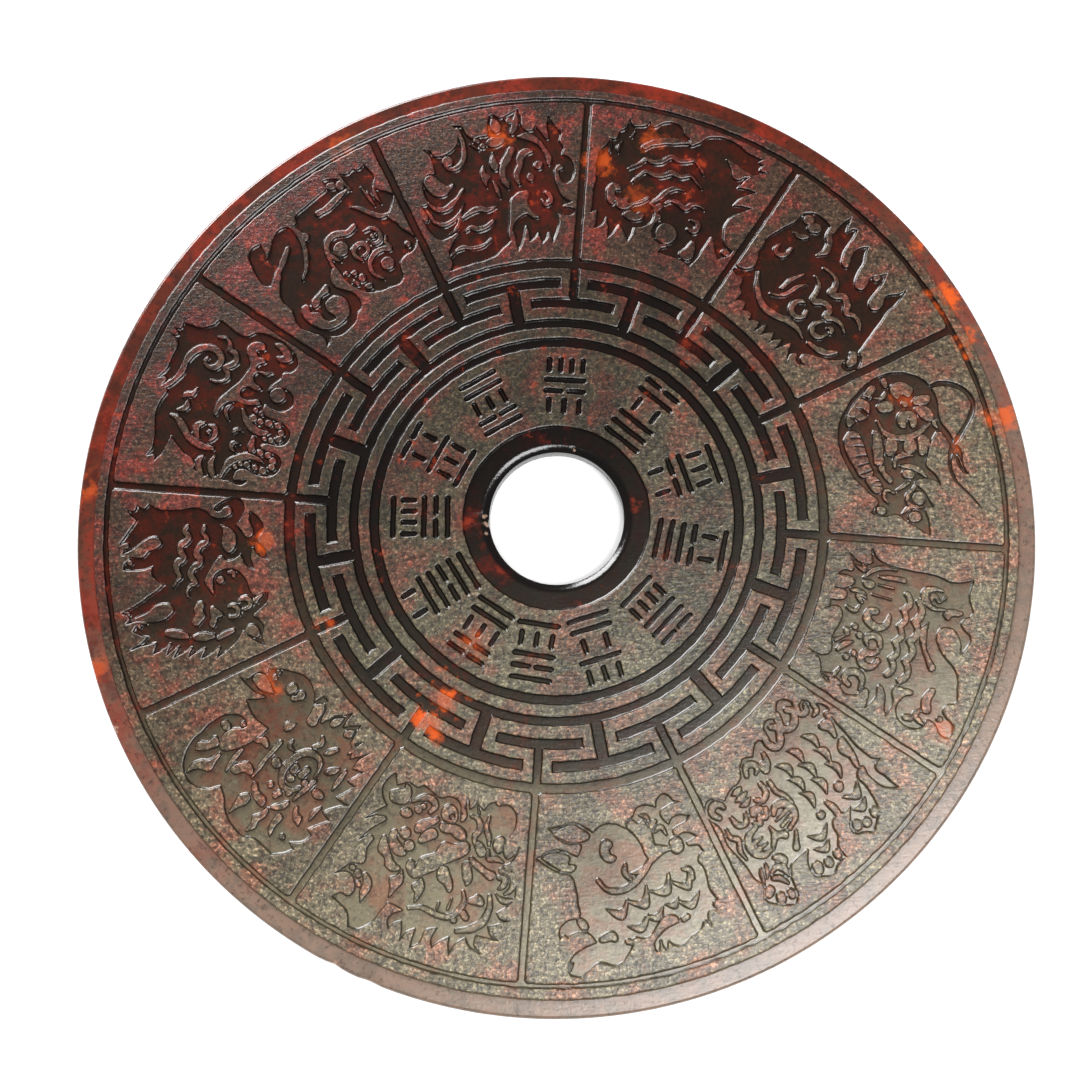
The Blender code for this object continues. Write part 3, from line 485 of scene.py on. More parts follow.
def ox(panel):
    panel.hollow((-10.2, 20, 1), (-10.6, 16.4), (-9.8, 15), (-6, 15.4), (-3, 15), (0.2, 14.8), (1.4, 15.6),
                 (-0.2, 19.6, 1), (1.6, 18.2), (2.8, 18.6, 1), (3.2, 16.6), (4, 15.4), (5, 15),
                 (5.8, 18.7, 1), (6.6, 15.8), (8.8, 14.3), (9.4, 15.8), (8.8, 18.8, 1), (10.6, 17.4),
                 (11.2, 15.4), (12.6, 15.8), (14.9, 17.4, 1), (13.6, 14), (14.4, 11.6), (16, 12.2),
                 (17.8, 12.7, 1), (15.8, 10.6), (15.3, 8), (15.4, 3), (16.3, -3), (16.3, -9),
                 (18.2, -12.8, 1), (14, -12.9), (9.4, -14.6), (8.4, -13.4), (7.2, -12.7), (6.2, -13.6),
                 (5, -15.8), (1.2, -15.3), (0, -14.8), (2.2, -14), (4.4, -12.4), (5.2, -10.4), (4.4, -8.6),
                 (2.2, -8.2), (0, -9.4), (-2, -11.8), (-4.6, -15.2), (-8, -16.4), (-11.6, -16.6),
                 (-12.4, -15), (-13.8, -14.4), (-15, -15.4), (-16.5, -17.6), (-19.8, -17.2), (-19.4, -15),
                 (-17.6, -13.4), (-17.4, -11.6), (-19.2, -11), (-20.5, -7.5), (-18.7, -4.2), (-15, -3.9),
                 (-13.4, -5), (-12.4, -6.4), (-12, -4), (-12.3, -1.9), (-13.4, -1.8), (-16, -2.8),
                 (-19.6, -2, 1), (-18, -1), (-14.8, -0.2), (-13.2, 1.4), (-15.6, 1.4), (-17.6, 2),
                 (-19.5, 3.2, 1), (-15, 4.2), (-17.2, 6), (-17.8, 8.4), (-16.2, 11), (-16.4, 13.4),
                 (-14.6, 15.6, 1), (-12, 16.6))
    panel.ridge(1.5, (-15.3, 8.4), (-14.4, 9.8), (-12.6, 9.2), (-12, 7.2), (-13.4, 5.6), (-15.6, 5.7),
                tip=0.7)
    panel.ridge(0.8, (-14.8, 14.6), (-14.4, 12.6), (-12.2, 11.5), tip=0.7)
    panel.island((-16, 13), (-15.4, 13.2), (-15, 11.4), (-15.6, 10.2), (-16.2, 11.4))
    for x, y in ((-9.2, 10.9), (-7.8, 9.4), (-3.3, 9.4), (-1.7, 11)):
        panel.bead(x, y, 0.7)
    panel.bead(-3.5, 12.4, 0.6, 1.6, 20)
    panel.ridge(1.1, (-8.2, 13.2), (-6.6, 12.2), (-5.3, 10.4), tip=0.7)
    panel.ridge(0.9, (-6.2, 14.4), (-4.6, 12.6), tip=0.8)
    panel.ridge(1.6, (-7.8, 3.5), (-9.6, 4.4), (-9.9, 6.3), (-8.6, 7.5), (-6.9, 6.8), (-6.5, 5.2),
                (-5.7, 4.2), tip=0.7, tail=0.6)
    panel.ridge(1.5, (-4.4, 3.9), (-2.8, 4.6), (-2.4, 6.4), (-3.6, 7.6), (-5, 6.9), tip=0.6)
    panel.ridge(1.7, (3.4, 7.2), (2.8, 8.7), (1.2, 8.9), (0, 7.4), (-0.1, 5.2), (1.4, 3.9), (3.6, 3.9),
                tip=0.8, tail=0.2)
    panel.ridge(0.9, (2.2, 14), (1.9, 12), (3.4, 11.4), tip=0.6)
    panel.ridge(0.9, (4.4, 11.2), (5.9, 12.4), (5.6, 10.4), tip=0.6)
    panel.ridge(0.9, (6.4, 14.2), (6.8, 12), (6.3, 10.6), tip=0.6)
    panel.island((8.2, 11.6), (9.4, 12.2), (10, 11), (9.4, 9.4), (8.2, 10.2))
    panel.ridge(0.8, (7, 9.2), (7.2, 4.8))
    panel.ridge(0.8, (9.6, 8.6), (10, 4.9))
    panel.ridge(1, (11.6, 8.8), (12.2, 6), (12.6, 3), tail=0.8)
    panel.ridge(1, (10.2, 12.4), (12.6, 10.8), (14, 8.4), (14.4, 5.6))
    panel.ridge(0.9, (12.4, 15), (12.2, 12.8), (13.2, 13.6))
    panel.waves(HIGH, (-10.2, 0.6), (9.7, 1.3), 5, -1.1, 1.2)
    panel.waves(HIGH, (-10.6, -2.8), (8.8, -1.8), 4, -1.3, 1.3)
    panel.island((-5.9, -9.3), (-3.4, -7), (0, -4.7), (2.6, -4), (4.9, -5.3, 1), (2, -5.6), (-1, -6.4),
                 (-3.4, -8.2), (-5.2, -9.7))
    panel.ridge(1.4, (9, -8), (8.6, -5.2), (9.8, -3), (11.8, -2.6), (13, -4.2), (13.2, -6.4), tip=0.3)
    panel.ridge(1, (10.4, -6.2), (11.4, -4.6), (10.2, -4.4), tip=0.6)
    panel.ridge(0.7, (10.4, -6.6), (12, -7.5))
    panel.island((7, -9.4), (7.8, -8.2), (9.2, -8.8), (9.8, -11), (9.6, -12.3), (8.8, -11.8), (8.2, -10))
    panel.island((-15.8, -10), (-13.4, -9.1), (-11.4, -9.4), (-9.8, -11), (-12.6, -10.8), (-15.6, -11.3))
    panel.ridge(1.1, (-15.9, -9), (-17, -8.4), (-18, -9.6), (-18.6, -11), tip=0.8)
    panel.beads((-18.2, -7, 0.6, 1.9, 100), (-16.2, -14.1, 0.5, 1.3, 120))


def tiger(panel):
    panel.hollow((-19.3, 6.8), (-20, 9.4), (-19.2, 11.8), (-17.4, 13), (-15.8, 12.4), (-14.2, 10.4, 1),
                 (-12, 11.3), (-8, 11.8), (-6.4, 13.8), (-4.6, 14.8), (-2.6, 13.6, 1), (-1, 15),
                 (0.8, 15.5), (2.2, 14.4), (2.9, 14.2, 1), (3.6, 16.7), (5, 17.7), (7, 16.9),
                 (7.8, 15.2, 1), (8.6, 18), (10.6, 19.3), (12.6, 17.9), (13, 15.2, 1), (14, 15.5),
                 (15.2, 15.8), (16, 14.2), (15.8, 13, 1), (16.8, 13.1), (18, 12.2), (18.3, 10), (17.8, 8.4),
                 (17.7, 3), (17.8, -2), (18.4, -4.6), (19.8, -6.2, 1), (17.4, -7.2), (17.9, -10),
                 (18.5, -14, 1), (16.6, -12.6), (15.1, -9.6), (14.9, -7), (15.3, -4.9), (13.3, -5.2),
                 (12.9, -9), (11.8, -14), (9.4, -16.2), (7, -17.4), (5.6, -16.3), (3.9, -15.4), (3.7, -13),
                 (5, -11.6), (6.8, -9.8, 1), (5, -9.9), (4, -9.2), (2, -9.4), (1, -10.4), (0.4, -12.8),
                 (-1.3, -14.6), (-1.4, -17.5, 1), (-3.4, -17.3), (-6, -18.4), (-8.6, -17.2), (-9.9, -15.6),
                 (-9.6, -13.4), (-7.3, -10.5, 1), (-10, -10.3), (-12.4, -10.6), (-14.2, -13),
                 (-15.6, -16.4), (-17, -17.5), (-19.8, -15.9), (-22.1, -12), (-20.3, -9.8), (-20.9, -7.6),
                 (-20.4, -3), (-20.7, 2))
    panel.ridge(1.5, (2.7, 16), (2.3, 12.6), (3.4, 11.4), (5.6, 12.9), (6.2, 14.6), (5.3, 15.8), tip=1,
                tail=0.8)
    panel.ridge(1.6, (8, 16.8), (7.2, 13.4), (8.6, 12.6), (10.8, 13.6), (11.6, 15.2), (10.7, 16.3), tip=1,
                tail=0.8)
    panel.ridge(1.2, (13.4, 16.4), (12.7, 13.3), (14, 13.1), (14.8, 14.4), tip=1, tail=0.6)
    panel.ridge(1.1, (16.4, 13.4), (15.9, 11.6), (14.6, 11.2), tip=1, tail=0.5)
    panel.bead(17.4, 9.2, 0.8)
    panel.ridge(1.4, (-17.8, 8.2), (-18.4, 10), (-17, 11.1), (-15.7, 10.4), (-15.5, 9.3), tip=0.8, tail=0.6)
    panel.ridge(1.3, (-6.6, 11.2), (-5.2, 12.8), (-3.8, 12.3), (-3.5, 10.9), (-4.6, 10.2), tip=0.7,
                tail=0.5)
    panel.island((-3.1, 9.4), (-2.5, 8.5), (-1.1, 9.2), (-0.2, 10.2), (-0.3, 12.8), (-1.2, 11.3),
                 (-2.4, 11.1))
    for y, reach in ((10.1, 1.4), (8.5, 1.7), (6.9, 1.5)):
        panel.crescent((-10.8 - reach, y), (-10.8 + reach, y), 0.9, -0.4)
    panel.ridge(1.2, (-15.7, 6.3), (-15.5, 4), (-14.2, 3.3), (-12.6, 4.8), tip=0.5, tail=0.7)
    panel.ridge(1.2, (-8.7, 5.7), (-7.4, 4.6), (-5.9, 5.2), (-5.4, 7.7), tip=0.6, tail=0.8)
    panel.island((-12, 3.8), (-10.4, 5.1), (-8.8, 3.6), (-10.6, 2.8))
    panel.ridge(1.1, (-12.4, 2), (-11.5, 1.1), (-10.6, 2.3), (-9.6, 1.3), (-8.3, 2.7), tip=0.6, tail=0.7)
    panel.ridge(1.7, (-13, 1.1), (-15.3, 0.7), (-16.8, -1), (-16.7, -3.3), (-15.4, -4.8), (-13.8, -5),
                tip=0.5, tail=0.4)
    panel.ridge(0.9, (-15.8, -1.2), (-13.3, -1.5), tip=1)
    panel.ridge(0.9, (-15.8, -3), (-13.3, -3.2), tip=1)
    panel.ridge(1.7, (-7.7, 0.6), (-6.2, 1.7), (-4.3, 0.9), (-3.6, -1.2), (-4.3, -3), (-6.9, -4.2), tip=0.5,
                tail=0.4)
    panel.ridge(0.9, (-4.8, -0.6), (-8.2, -0.9), tip=1)
    panel.ridge(0.9, (-4.8, -2.2), (-8, -2.6), tip=1)
    panel.island((-10.3, -0.9, 1), (-9.6, -3), (-8.1, -4.4), (-8.7, -5.3), (-10.5, -4.1), (-12, -4.7),
                 (-13.1, -5.3), (-12.3, -3.9), (-11.2, -2.6))
    panel.ridge(1.1, (-18.3, 5.1), (-18.8, 3.2), (-17.8, 1.5), (-19, -0.4), (-19.3, -2.8), tip=0.5)
    panel.ridge(1.1, (-3.5, 6.6), (-3.8, 4.2), (-2.9, 2), (-2.6, -0.2), tip=0.8)
    for x, top, step in ((0.1, 8.4, 4.1), (4.3, 9.4, 4.3), (9.3, 9.6, 4.2)):
        for k in range(3):
            panel.crescent((x, top - step * k), (x + 1.1 - 0.6 * (k == 2), top - step * (k + 1.12)), -2,
                           -0.4)
    panel.island((13.8, 8.4), (16.7, 8.4), (16.2, 5.8), (15.2, 4.1), (14.8, 6.4))
    panel.island((15.9, 3.4), (16.1, 0), (15.4, -3), (14.4, -4.3), (14.4, -1.4), (13.6, 1.2), (14.6, 2.6))
    panel.beads((8, -4.6, 1, 1.1, 60), (0.6, -6.7, 0.9))
    panel.ridge(1.4, (3.4, -5.5), (3.8, -7.4), (3.5, -9.8), tip=0.5, tail=1)
    panel.ridge(0.9, (-18.2, -6.6), (-19, -8), (-19.9, -9.6))
    panel.ridge(0.9, (-16.7, -6.4), (-17.4, -7.8), (-18.5, -9))
    panel.island((-14.3, -6.4), (-12.9, -6.8), (-12.2, -8.9), (-13, -9.5), (-13.8, -8.2))
    panel.ridge(1.4, (-16.9, -8.8), (-15.2, -8.5), (-14.2, -9.8), (-14.3, -11.7), tip=0.4)
    panel.ridge(1.2, (-17.4, -10), (-16.3, -11), (-15.6, -13), tip=0.7)
    panel.beads((-20.2, -11.6, 1, 1.3, 30), (-19, -14.5, 1, 1.2, 60), (-16.6, -15.3, 0.8, 1.4, 70))
    panel.ridge(1.4, (-8.8, -8.4), (-6.3, -5.6), tip=0.9)
    panel.crescent((-5.1, -8.3), (0.1, -9), 2.6, 1)
    panel.crescent((-5.8, -11.5), (-2, -12), 2, 0.4)
    panel.beads((-8.2, -15, 1.1, 1.3, 70), (-5.3, -15.6, 0.9, 1.2, 75), (-2.6, -15.7, 0.8, 1.2, 75))
    panel.crescent((7.2, -7.1), (12, -6.6), 2.9, 0.8)
    panel.crescent((6.9, -10.6), (10.9, -10.4), 2, 0.4)
    panel.beads((5.2, -13.8, 1, 1.2, 60), (7.4, -14.8, 1), (10.3, -14.3, 0.9, 1.3, 70))


def rabbit(panel):
    panel.hollow((-15.8, 15.1, 1), (-12.6, 15), (-9.5, 15.3), (-7.6, 14), (-5.6, 12.3, 1), (-4, 13.2),
                 (-2.5, 13.5), (0.5, 12.8), (2, 11.8, 1), (2.6, 13.6), (3.9, 13.9), (4.6, 15), (5.8, 16),
                 (7.4, 16.1), (9.7, 15.2, 1), (10.4, 17), (12, 17.8), (13.4, 17), (14.4, 15.6),
                 (15.6, 15.2, 1), (12.4, 14.7), (10.8, 13.6), (11, 12), (12, 10.8, 1), (13, 12),
                 (14.6, 12.5), (17.2, 11.8, 1), (16, 10.4), (13.8, 9.8), (12.8, 8.8), (13.2, 7.9),
                 (14.6, 8.3), (16.4, 8), (17.8, 6.8, 1), (16.8, 6.3), (15.4, 5.5), (16.6, 5.1), (17.8, 4.8),
                 (18.7, 3.2, 1), (17.8, 2.6), (17.2, 1.2), (18, 0), (18.4, -2.6), (18.4, -5), (19.8, -8, 1),
                 (18.6, -8.4), (19.4, -10.9, 1), (17.8, -10), (16.9, -11), (17.2, -13.7, 1), (15.8, -12),
                 (14.9, -13.4), (13.8, -14.2), (12, -15.2), (8.4, -16.3), (6.8, -15, 1), (6, -16.7),
                 (5, -15, 1), (4, -16.9), (3.4, -15), (4.2, -13.6), (6, -12.4), (9.9, -11, 1), (9.8, -10.2),
                 (6.6, -9.7), (5, -11), (3.4, -12.8), (1.4, -13.4), (-1, -12.9), (-1.4, -14.6), (-3, -16.4),
                 (-6, -18), (-8.4, -17), (-10, -16.7), (-12, -17.6), (-14, -19.1, 1), (-16.9, -17.6),
                 (-16.4, -15.2), (-14, -13.2), (-9.6, -12, 1), (-10.2, -10.6), (-11.4, -9.5), (-14.6, -9.4),
                 (-15.6, -10.3, 1), (-16.4, -9.2), (-17.6, -10.3, 1), (-17.2, -7.6), (-15.2, -6),
                 (-12.2, -5.7), (-12.1, -3), (-11.9, 0), (-12.4, 3.2), (-14.2, 4.2), (-16.8, 5.8),
                 (-19.9, 8.9, 1), (-17, 9.7), (-14.5, 9.9), (-12, 8.8), (-10.2, 7.7, 1), (-9.2, 8.8),
                 (-8.8, 9.8), (-11, 10.2), (-13.6, 11.8))
    panel.island((-14.8, 13.4, 1), (-13, 14.3), (-9.8, 14.6), (-8, 13.2), (-6.6, 11.3), (-8.4, 10.5),
                 (-11, 10.9), (-13.4, 12.2))
    panel.island((-18, 8.6, 1), (-16.6, 9.2), (-13.8, 8.9), (-12, 7.4), (-12.6, 6.2), (-10.9, 5.3),
                 (-11.6, 4.5), (-14, 4.8), (-16, 6.4))
    panel.island((-4.6, 8), (-3.4, 9.9), (-1.7, 8.5), (-2.7, 7.6), (-2.6, 6.4), (-1.5, 5.6), (-3, 4.8),
                 (-4.4, 5.8))
    panel.ridge(1.3, (-6.4, 1.2), (-5, -1), (-2.6, -1.8), (0.6, -1.4), (3.4, 0.6), (6.2, 3.2), (9.4, 4.9),
                (11.6, 5.1), tip=0.5)
    panel.ridge(1, (0.4, 3.6), (-0.1, 1.9), (0.9, 0.2), tip=0.5, tail=0.8)
    panel.crescent((1.4, 1.4), (5.8, 3.2), 1.3, 0.2)
    panel.island((2.5, 12.5), (3.8, 13), (5, 12), (6.4, 12.6), (7.4, 10.7), (7.8, 11.7), (9.2, 12.1),
                 (8, 10.4), (7.7, 8.4), (8, 6.7), (9.4, 6.2), (10.8, 5.5), (9, 4.7), (6.6, 3.4), (5.6, 4.8),
                 (5.1, 7), (4, 9.6))
    panel.ridge(0.8, (5.8, 13.9), (7.2, 13.2), (7.6, 11.4))
    panel.ridge(0.9, (8.6, 9.6), (9.8, 10.4), (11, 8.4))
    panel.bead(12.8, 5.7, 1.5, 1.2, 95)
    for start, end, outer, inner in (((-5.9, -5.2), (-0.6, -4.1), 3.6, 1.5),
                                     ((-0.9, -4.3), (4.2, -1.9), 4.1, 2),
                                     ((4.6, -3.2), (9.7, -0.2), 3.5, 1.4),
                                     ((9.9, -2), (14.4, 0.2), 4, 2.2),
                                     ((-1.8, -9.9), (3.3, -8.2), 2.7, 1),
                                     ((2.8, -8.6), (6.9, -7.3), 2.2, 0.6),
                                     ((7.8, -6.8), (10.8, -5.9), 1.8, 0.4),
                                     ((10.4, -6.3), (15.8, -5.4), 3, 1.3)):
        panel.crescent(start, end, outer, inner)
    panel.ridge(1.2, (13.3, 0.2), (14.6, -0.2), (14.9, -2.2), tip=0.6, tail=0.8)
    panel.island((-8.6, -11.8), (-7, -10.6), (-5, -10.8), (-4.8, -12.5), (-6.2, -12.2))
    panel.island((-12.4, -6.2), (-11.6, -6.5), (-11, -8.9), (-12, -8.7))
    panel.beads((11.6, -10.6, 0.5, 2, 25), (-2, -13.3, 0.5, 1.6, -20))
    panel.ridge(0.5, (-16.4, -16.9), (-15.6, -15.6))
    panel.ridge(0.5, (5, -16), (5, -14.6))
    panel.ridge(0.5, (12.4, -14.9), (14, -14.2))


def dragon(panel):
    panel.hollow((-15.3, 17.3, 1), (-16.8, 15), (-17.2, 13), (-16.2, 11), (-14.8, 9.4, 1), (-16.6, 7.6),
                 (-18.5, 5, 1), (-15.4, 6.7), (-14.1, 6.9), (-16.6, 3.2), (-18.3, -0.1, 1), (-16.6, 1.4),
                 (-15.3, 1.8), (-15.8, -1), (-15.2, -4.2), (-17.6, -5.2), (-20.9, -8.9, 1), (-19, -7.9),
                 (-17.2, -7.7), (-15.8, -9), (-15.2, -10.6), (-15.9, -12.3), (-18, -12.2),
                 (-19.5, -13.7, 1), (-17.4, -14.7), (-15, -16), (-13.7, -19, 1), (-11, -18.6),
                 (-9.4, -17.2), (-8, -14.6), (-6.8, -11, 1), (-5, -11), (-3.2, -11.4, 1), (-5.2, -13),
                 (-5.6, -14.6), (-4.7, -16.3, 1), (-3.2, -14.2), (-2.5, -13.8, 1), (-1.3, -17.9, 1),
                 (0.2, -15), (1, -14.4, 1), (1.2, -18.8, 1), (3.1, -17), (3.8, -13.6), (5.6, -12.6, 1),
                 (5.2, -15), (6, -17.1, 1), (8, -14.4), (8.9, -13.6, 1), (9.4, -15.4), (10.3, -17.3, 1),
                 (11, -14.6), (12.5, -12.4, 1), (14, -14), (17.3, -14.7, 1), (15.2, -13.2),
                 (14.8, -11.2, 1), (17, -11), (20, -10.6, 1), (17.6, -9.8), (16.9, -8.4, 1), (18.8, -7.2),
                 (20.8, -5.6, 1), (18.6, -5.9), (17.6, -5, 1), (19.2, -3.2), (20.5, -0.6, 1), (19.9, 1.6),
                 (19.4, 3.4), (17.6, 5.1), (15.6, 5.2), (16.6, 6.2), (17.4, 7.6), (17.5, 11.6, 1),
                 (16.5, 8), (15.6, 7.2), (14.7, 8), (14.2, 10.8), (15.3, 14.2), (14.4, 17.4), (11.8, 18.9),
                 (9.4, 18), (8.9, 18.6, 1), (7.4, 17.4), (6.9, 15.8, 1), (5.6, 16.6), (4.4, 18.3, 1),
                 (4.6, 16), (3.8, 15, 1), (3.2, 16.6), (2.3, 17.4, 1), (2.6, 15), (2.3, 13, 1), (1.8, 14.8),
                 (0.4, 16.2), (-1.6, 16.3), (-3.4, 15.3), (-5.6, 15.9), (-8.2, 16.8, 1), (-9.2, 15.8),
                 (-11, 16.1), (-12.4, 15.8), (-14, 14.8, 1))
    panel.island((-14.9, 12.6), (-13.2, 13.7), (-12, 14.3), (-11.9, 15.5), (-10.8, 15), (-10.1, 13.5),
                 (-10.5, 11.7), (-12.4, 10.7), (-14.3, 11.1))
    panel.ridge(1.4, (-9.3, 12.3), (-7.5, 13.7), (-5.4, 14.2), (-4, 12.8), (-4.6, 11.3), tail=0.6)
    panel.beads((-6.6, 12, 0.5, 1.3, 50), (-7.4, 10.8, 0.7))
    panel.island((-11.1, 8.9), (-9.4, 10.4), (-8.4, 9.5), (-9.2, 8.5))
    panel.island((-2.1, 10.7), (-4.4, 9.7), (-6.6, 7.5), (-6.5, 6.1), (-4.8, 6.7), (-3.3, 8.6))
    panel.island((-1.4, 7.3), (-2.7, 8), (-4.7, 5.8), (-4.7, 4.1), (-3.1, 4.9))
    panel.island((-2.1, 12.4), (-1.3, 14.2), (0.4, 14.2), (1.6, 12.8), (1.5, 11), (0, 10.6), (-1.6, 11))
    panel.bead(0.5, 12, 0.8, level=LOW)
    panel.island((-1.4, 9.6), (0.4, 10.1), (2.5, 10.5), (4.7, 9.4), (5, 8.1), (3.5, 7.6), (1.6, 8.3),
                 (-0.8, 8.2))
    panel.island((-5.6, -1), (-5.1, -0.2), (-4.1, -0.5), (-3.7, -1.9), (-3.2, 0.6), (-2.2, 1.7), (-0.4, 3),
                 (1, 6), (3, 6), (5.5, 7.7), (6.8, 6), (5.8, 4.4), (3.8, 2.7), (1.6, 0.4), (-1.6, -2.7),
                 (-3.4, -3.8), (-5, -2.8))
    panel.beads((-8.4, 5, 1.2), (-6.6, 2.7, 1.1))
    panel.island((-11.7, 3.4), (-10.7, 4.9), (-9.9, 3.2), (-8.4, 2.2), (-6.8, 0.4), (-8, -0.3), (-10, 0.6),
                 (-11.3, 2))
    panel.island((-13.3, 1), (-12.7, 2.9), (-11.5, 1.4), (-10, -0.6), (-8.2, -2.3), (-6.9, -2.8),
                 (-8.2, -3.9), (-10, -3.4), (-11, -1.8), (-12.8, -0.8))
    panel.island((-6.2, -3, 1), (-5.4, -4.6), (-6.1, -7.6), (-7, -9.6, 1), (-7.6, -7.2), (-8.2, -5.6),
                 (-7.1, -4.8))
    panel.island((-1.4, -3.1, 1), (-0.4, -4.4), (-0.2, -6.4), (-1.1, -8.9, 1), (-1.8, -6.6), (-2.8, -5.6),
                 (-2, -4.4))
    panel.island((-13.9, -6.4), (-12.8, -6.9), (-11.7, -9.2), (-12.2, -11), (-12.8, -12.9, 1), (-13.5, -11),
                 (-13.6, -8.6))
    panel.beads((-17.2, -6.2, 0.6), (-15.6, -7.1, 0.7, 1.2, 120), (-14.6, -9.2, 0.5))
    panel.island((2.4, 1), (2.4, -2.3), (4, -2.8), (5.6, -4.1), (5.7, -2.4), (4.3, -0.2), (3.1, 1))
    panel.island((6.8, 3.2), (7.1, 1), (8.8, -1.5, 1), (9.5, -0.2), (8.6, 2.4), (7.7, 3.5))
    panel.island((7.6, 4.7), (9.4, 4.4), (12, 3.5), (14.4, 3), (14, 1.8), (11.4, 2.3), (8.6, 3.4))
    panel.ridge(0.9, (2.8, 14.6), (3.1, 12.8), (2.9, 11.8))
    panel.ridge(1.2, (4.7, 13.6), (6.4, 13.4), (7.5, 11.2), (7, 9.6), (8, 7.4))
    panel.ridge(1.1, (8.7, 14.8), (8.9, 12.2), (10, 10.6), (10.7, 8.8))
    panel.ridge(0.8, (5.6, 16), (6.2, 14.6))
    panel.island((8.1, 8.7), (9.6, 8.1), (10.6, 6.4), (9.6, 5.6), (8.4, 6.6))
    panel.island((11.8, 10.4), (13.2, 11.4), (14, 9.6), (13.4, 7.8), (12.1, 8.4))
    panel.ridge(1, (10.9, 7.4), (11.7, 5.9), (13.4, 6.4), (15, 6.2), tip=0.6)
    panel.ridge(1.2, (15.3, 4.2), (17.2, 4.4), (18.7, 3), (18.9, 0.9), (17.9, -0.3), tip=0.7)
    panel.ridge(1.1, (15.4, 2.6), (16.6, 2.9), (16.9, 1.2), (16.1, 0.2), tip=0.8)
    panel.crescent((15.8, -1), (20.2, -0.8), 1.6, 0.5)
    panel.ridge(1.1, (-1.9, -10.5), (1, -9.4), (4.4, -9.7), (7.4, -9.3), (9.2, -7.2), (9.6, -4.8),
                (8.7, -3), tail=0.5)
    panel.ridge(0.8, (6.7, -5.4), (6.6, -7.9))
    panel.ridge(0.7, (4.2, -7.2), (4.3, -9.2))
    panel.ridge(1.4, (14.8, -1.9), (15.6, -4.6), (15, -8), (12.9, -10.4), (10.3, -11.6), tail=0.6)
    panel.island((10.4, -4.6), (11.4, -3.4), (12, -2.6), (13.9, -4.4), (12.2, -4.7))
    panel.beads((10.7, -7.8, 0.7, 1.7, -35), (8.7, -9.6, 0.6))


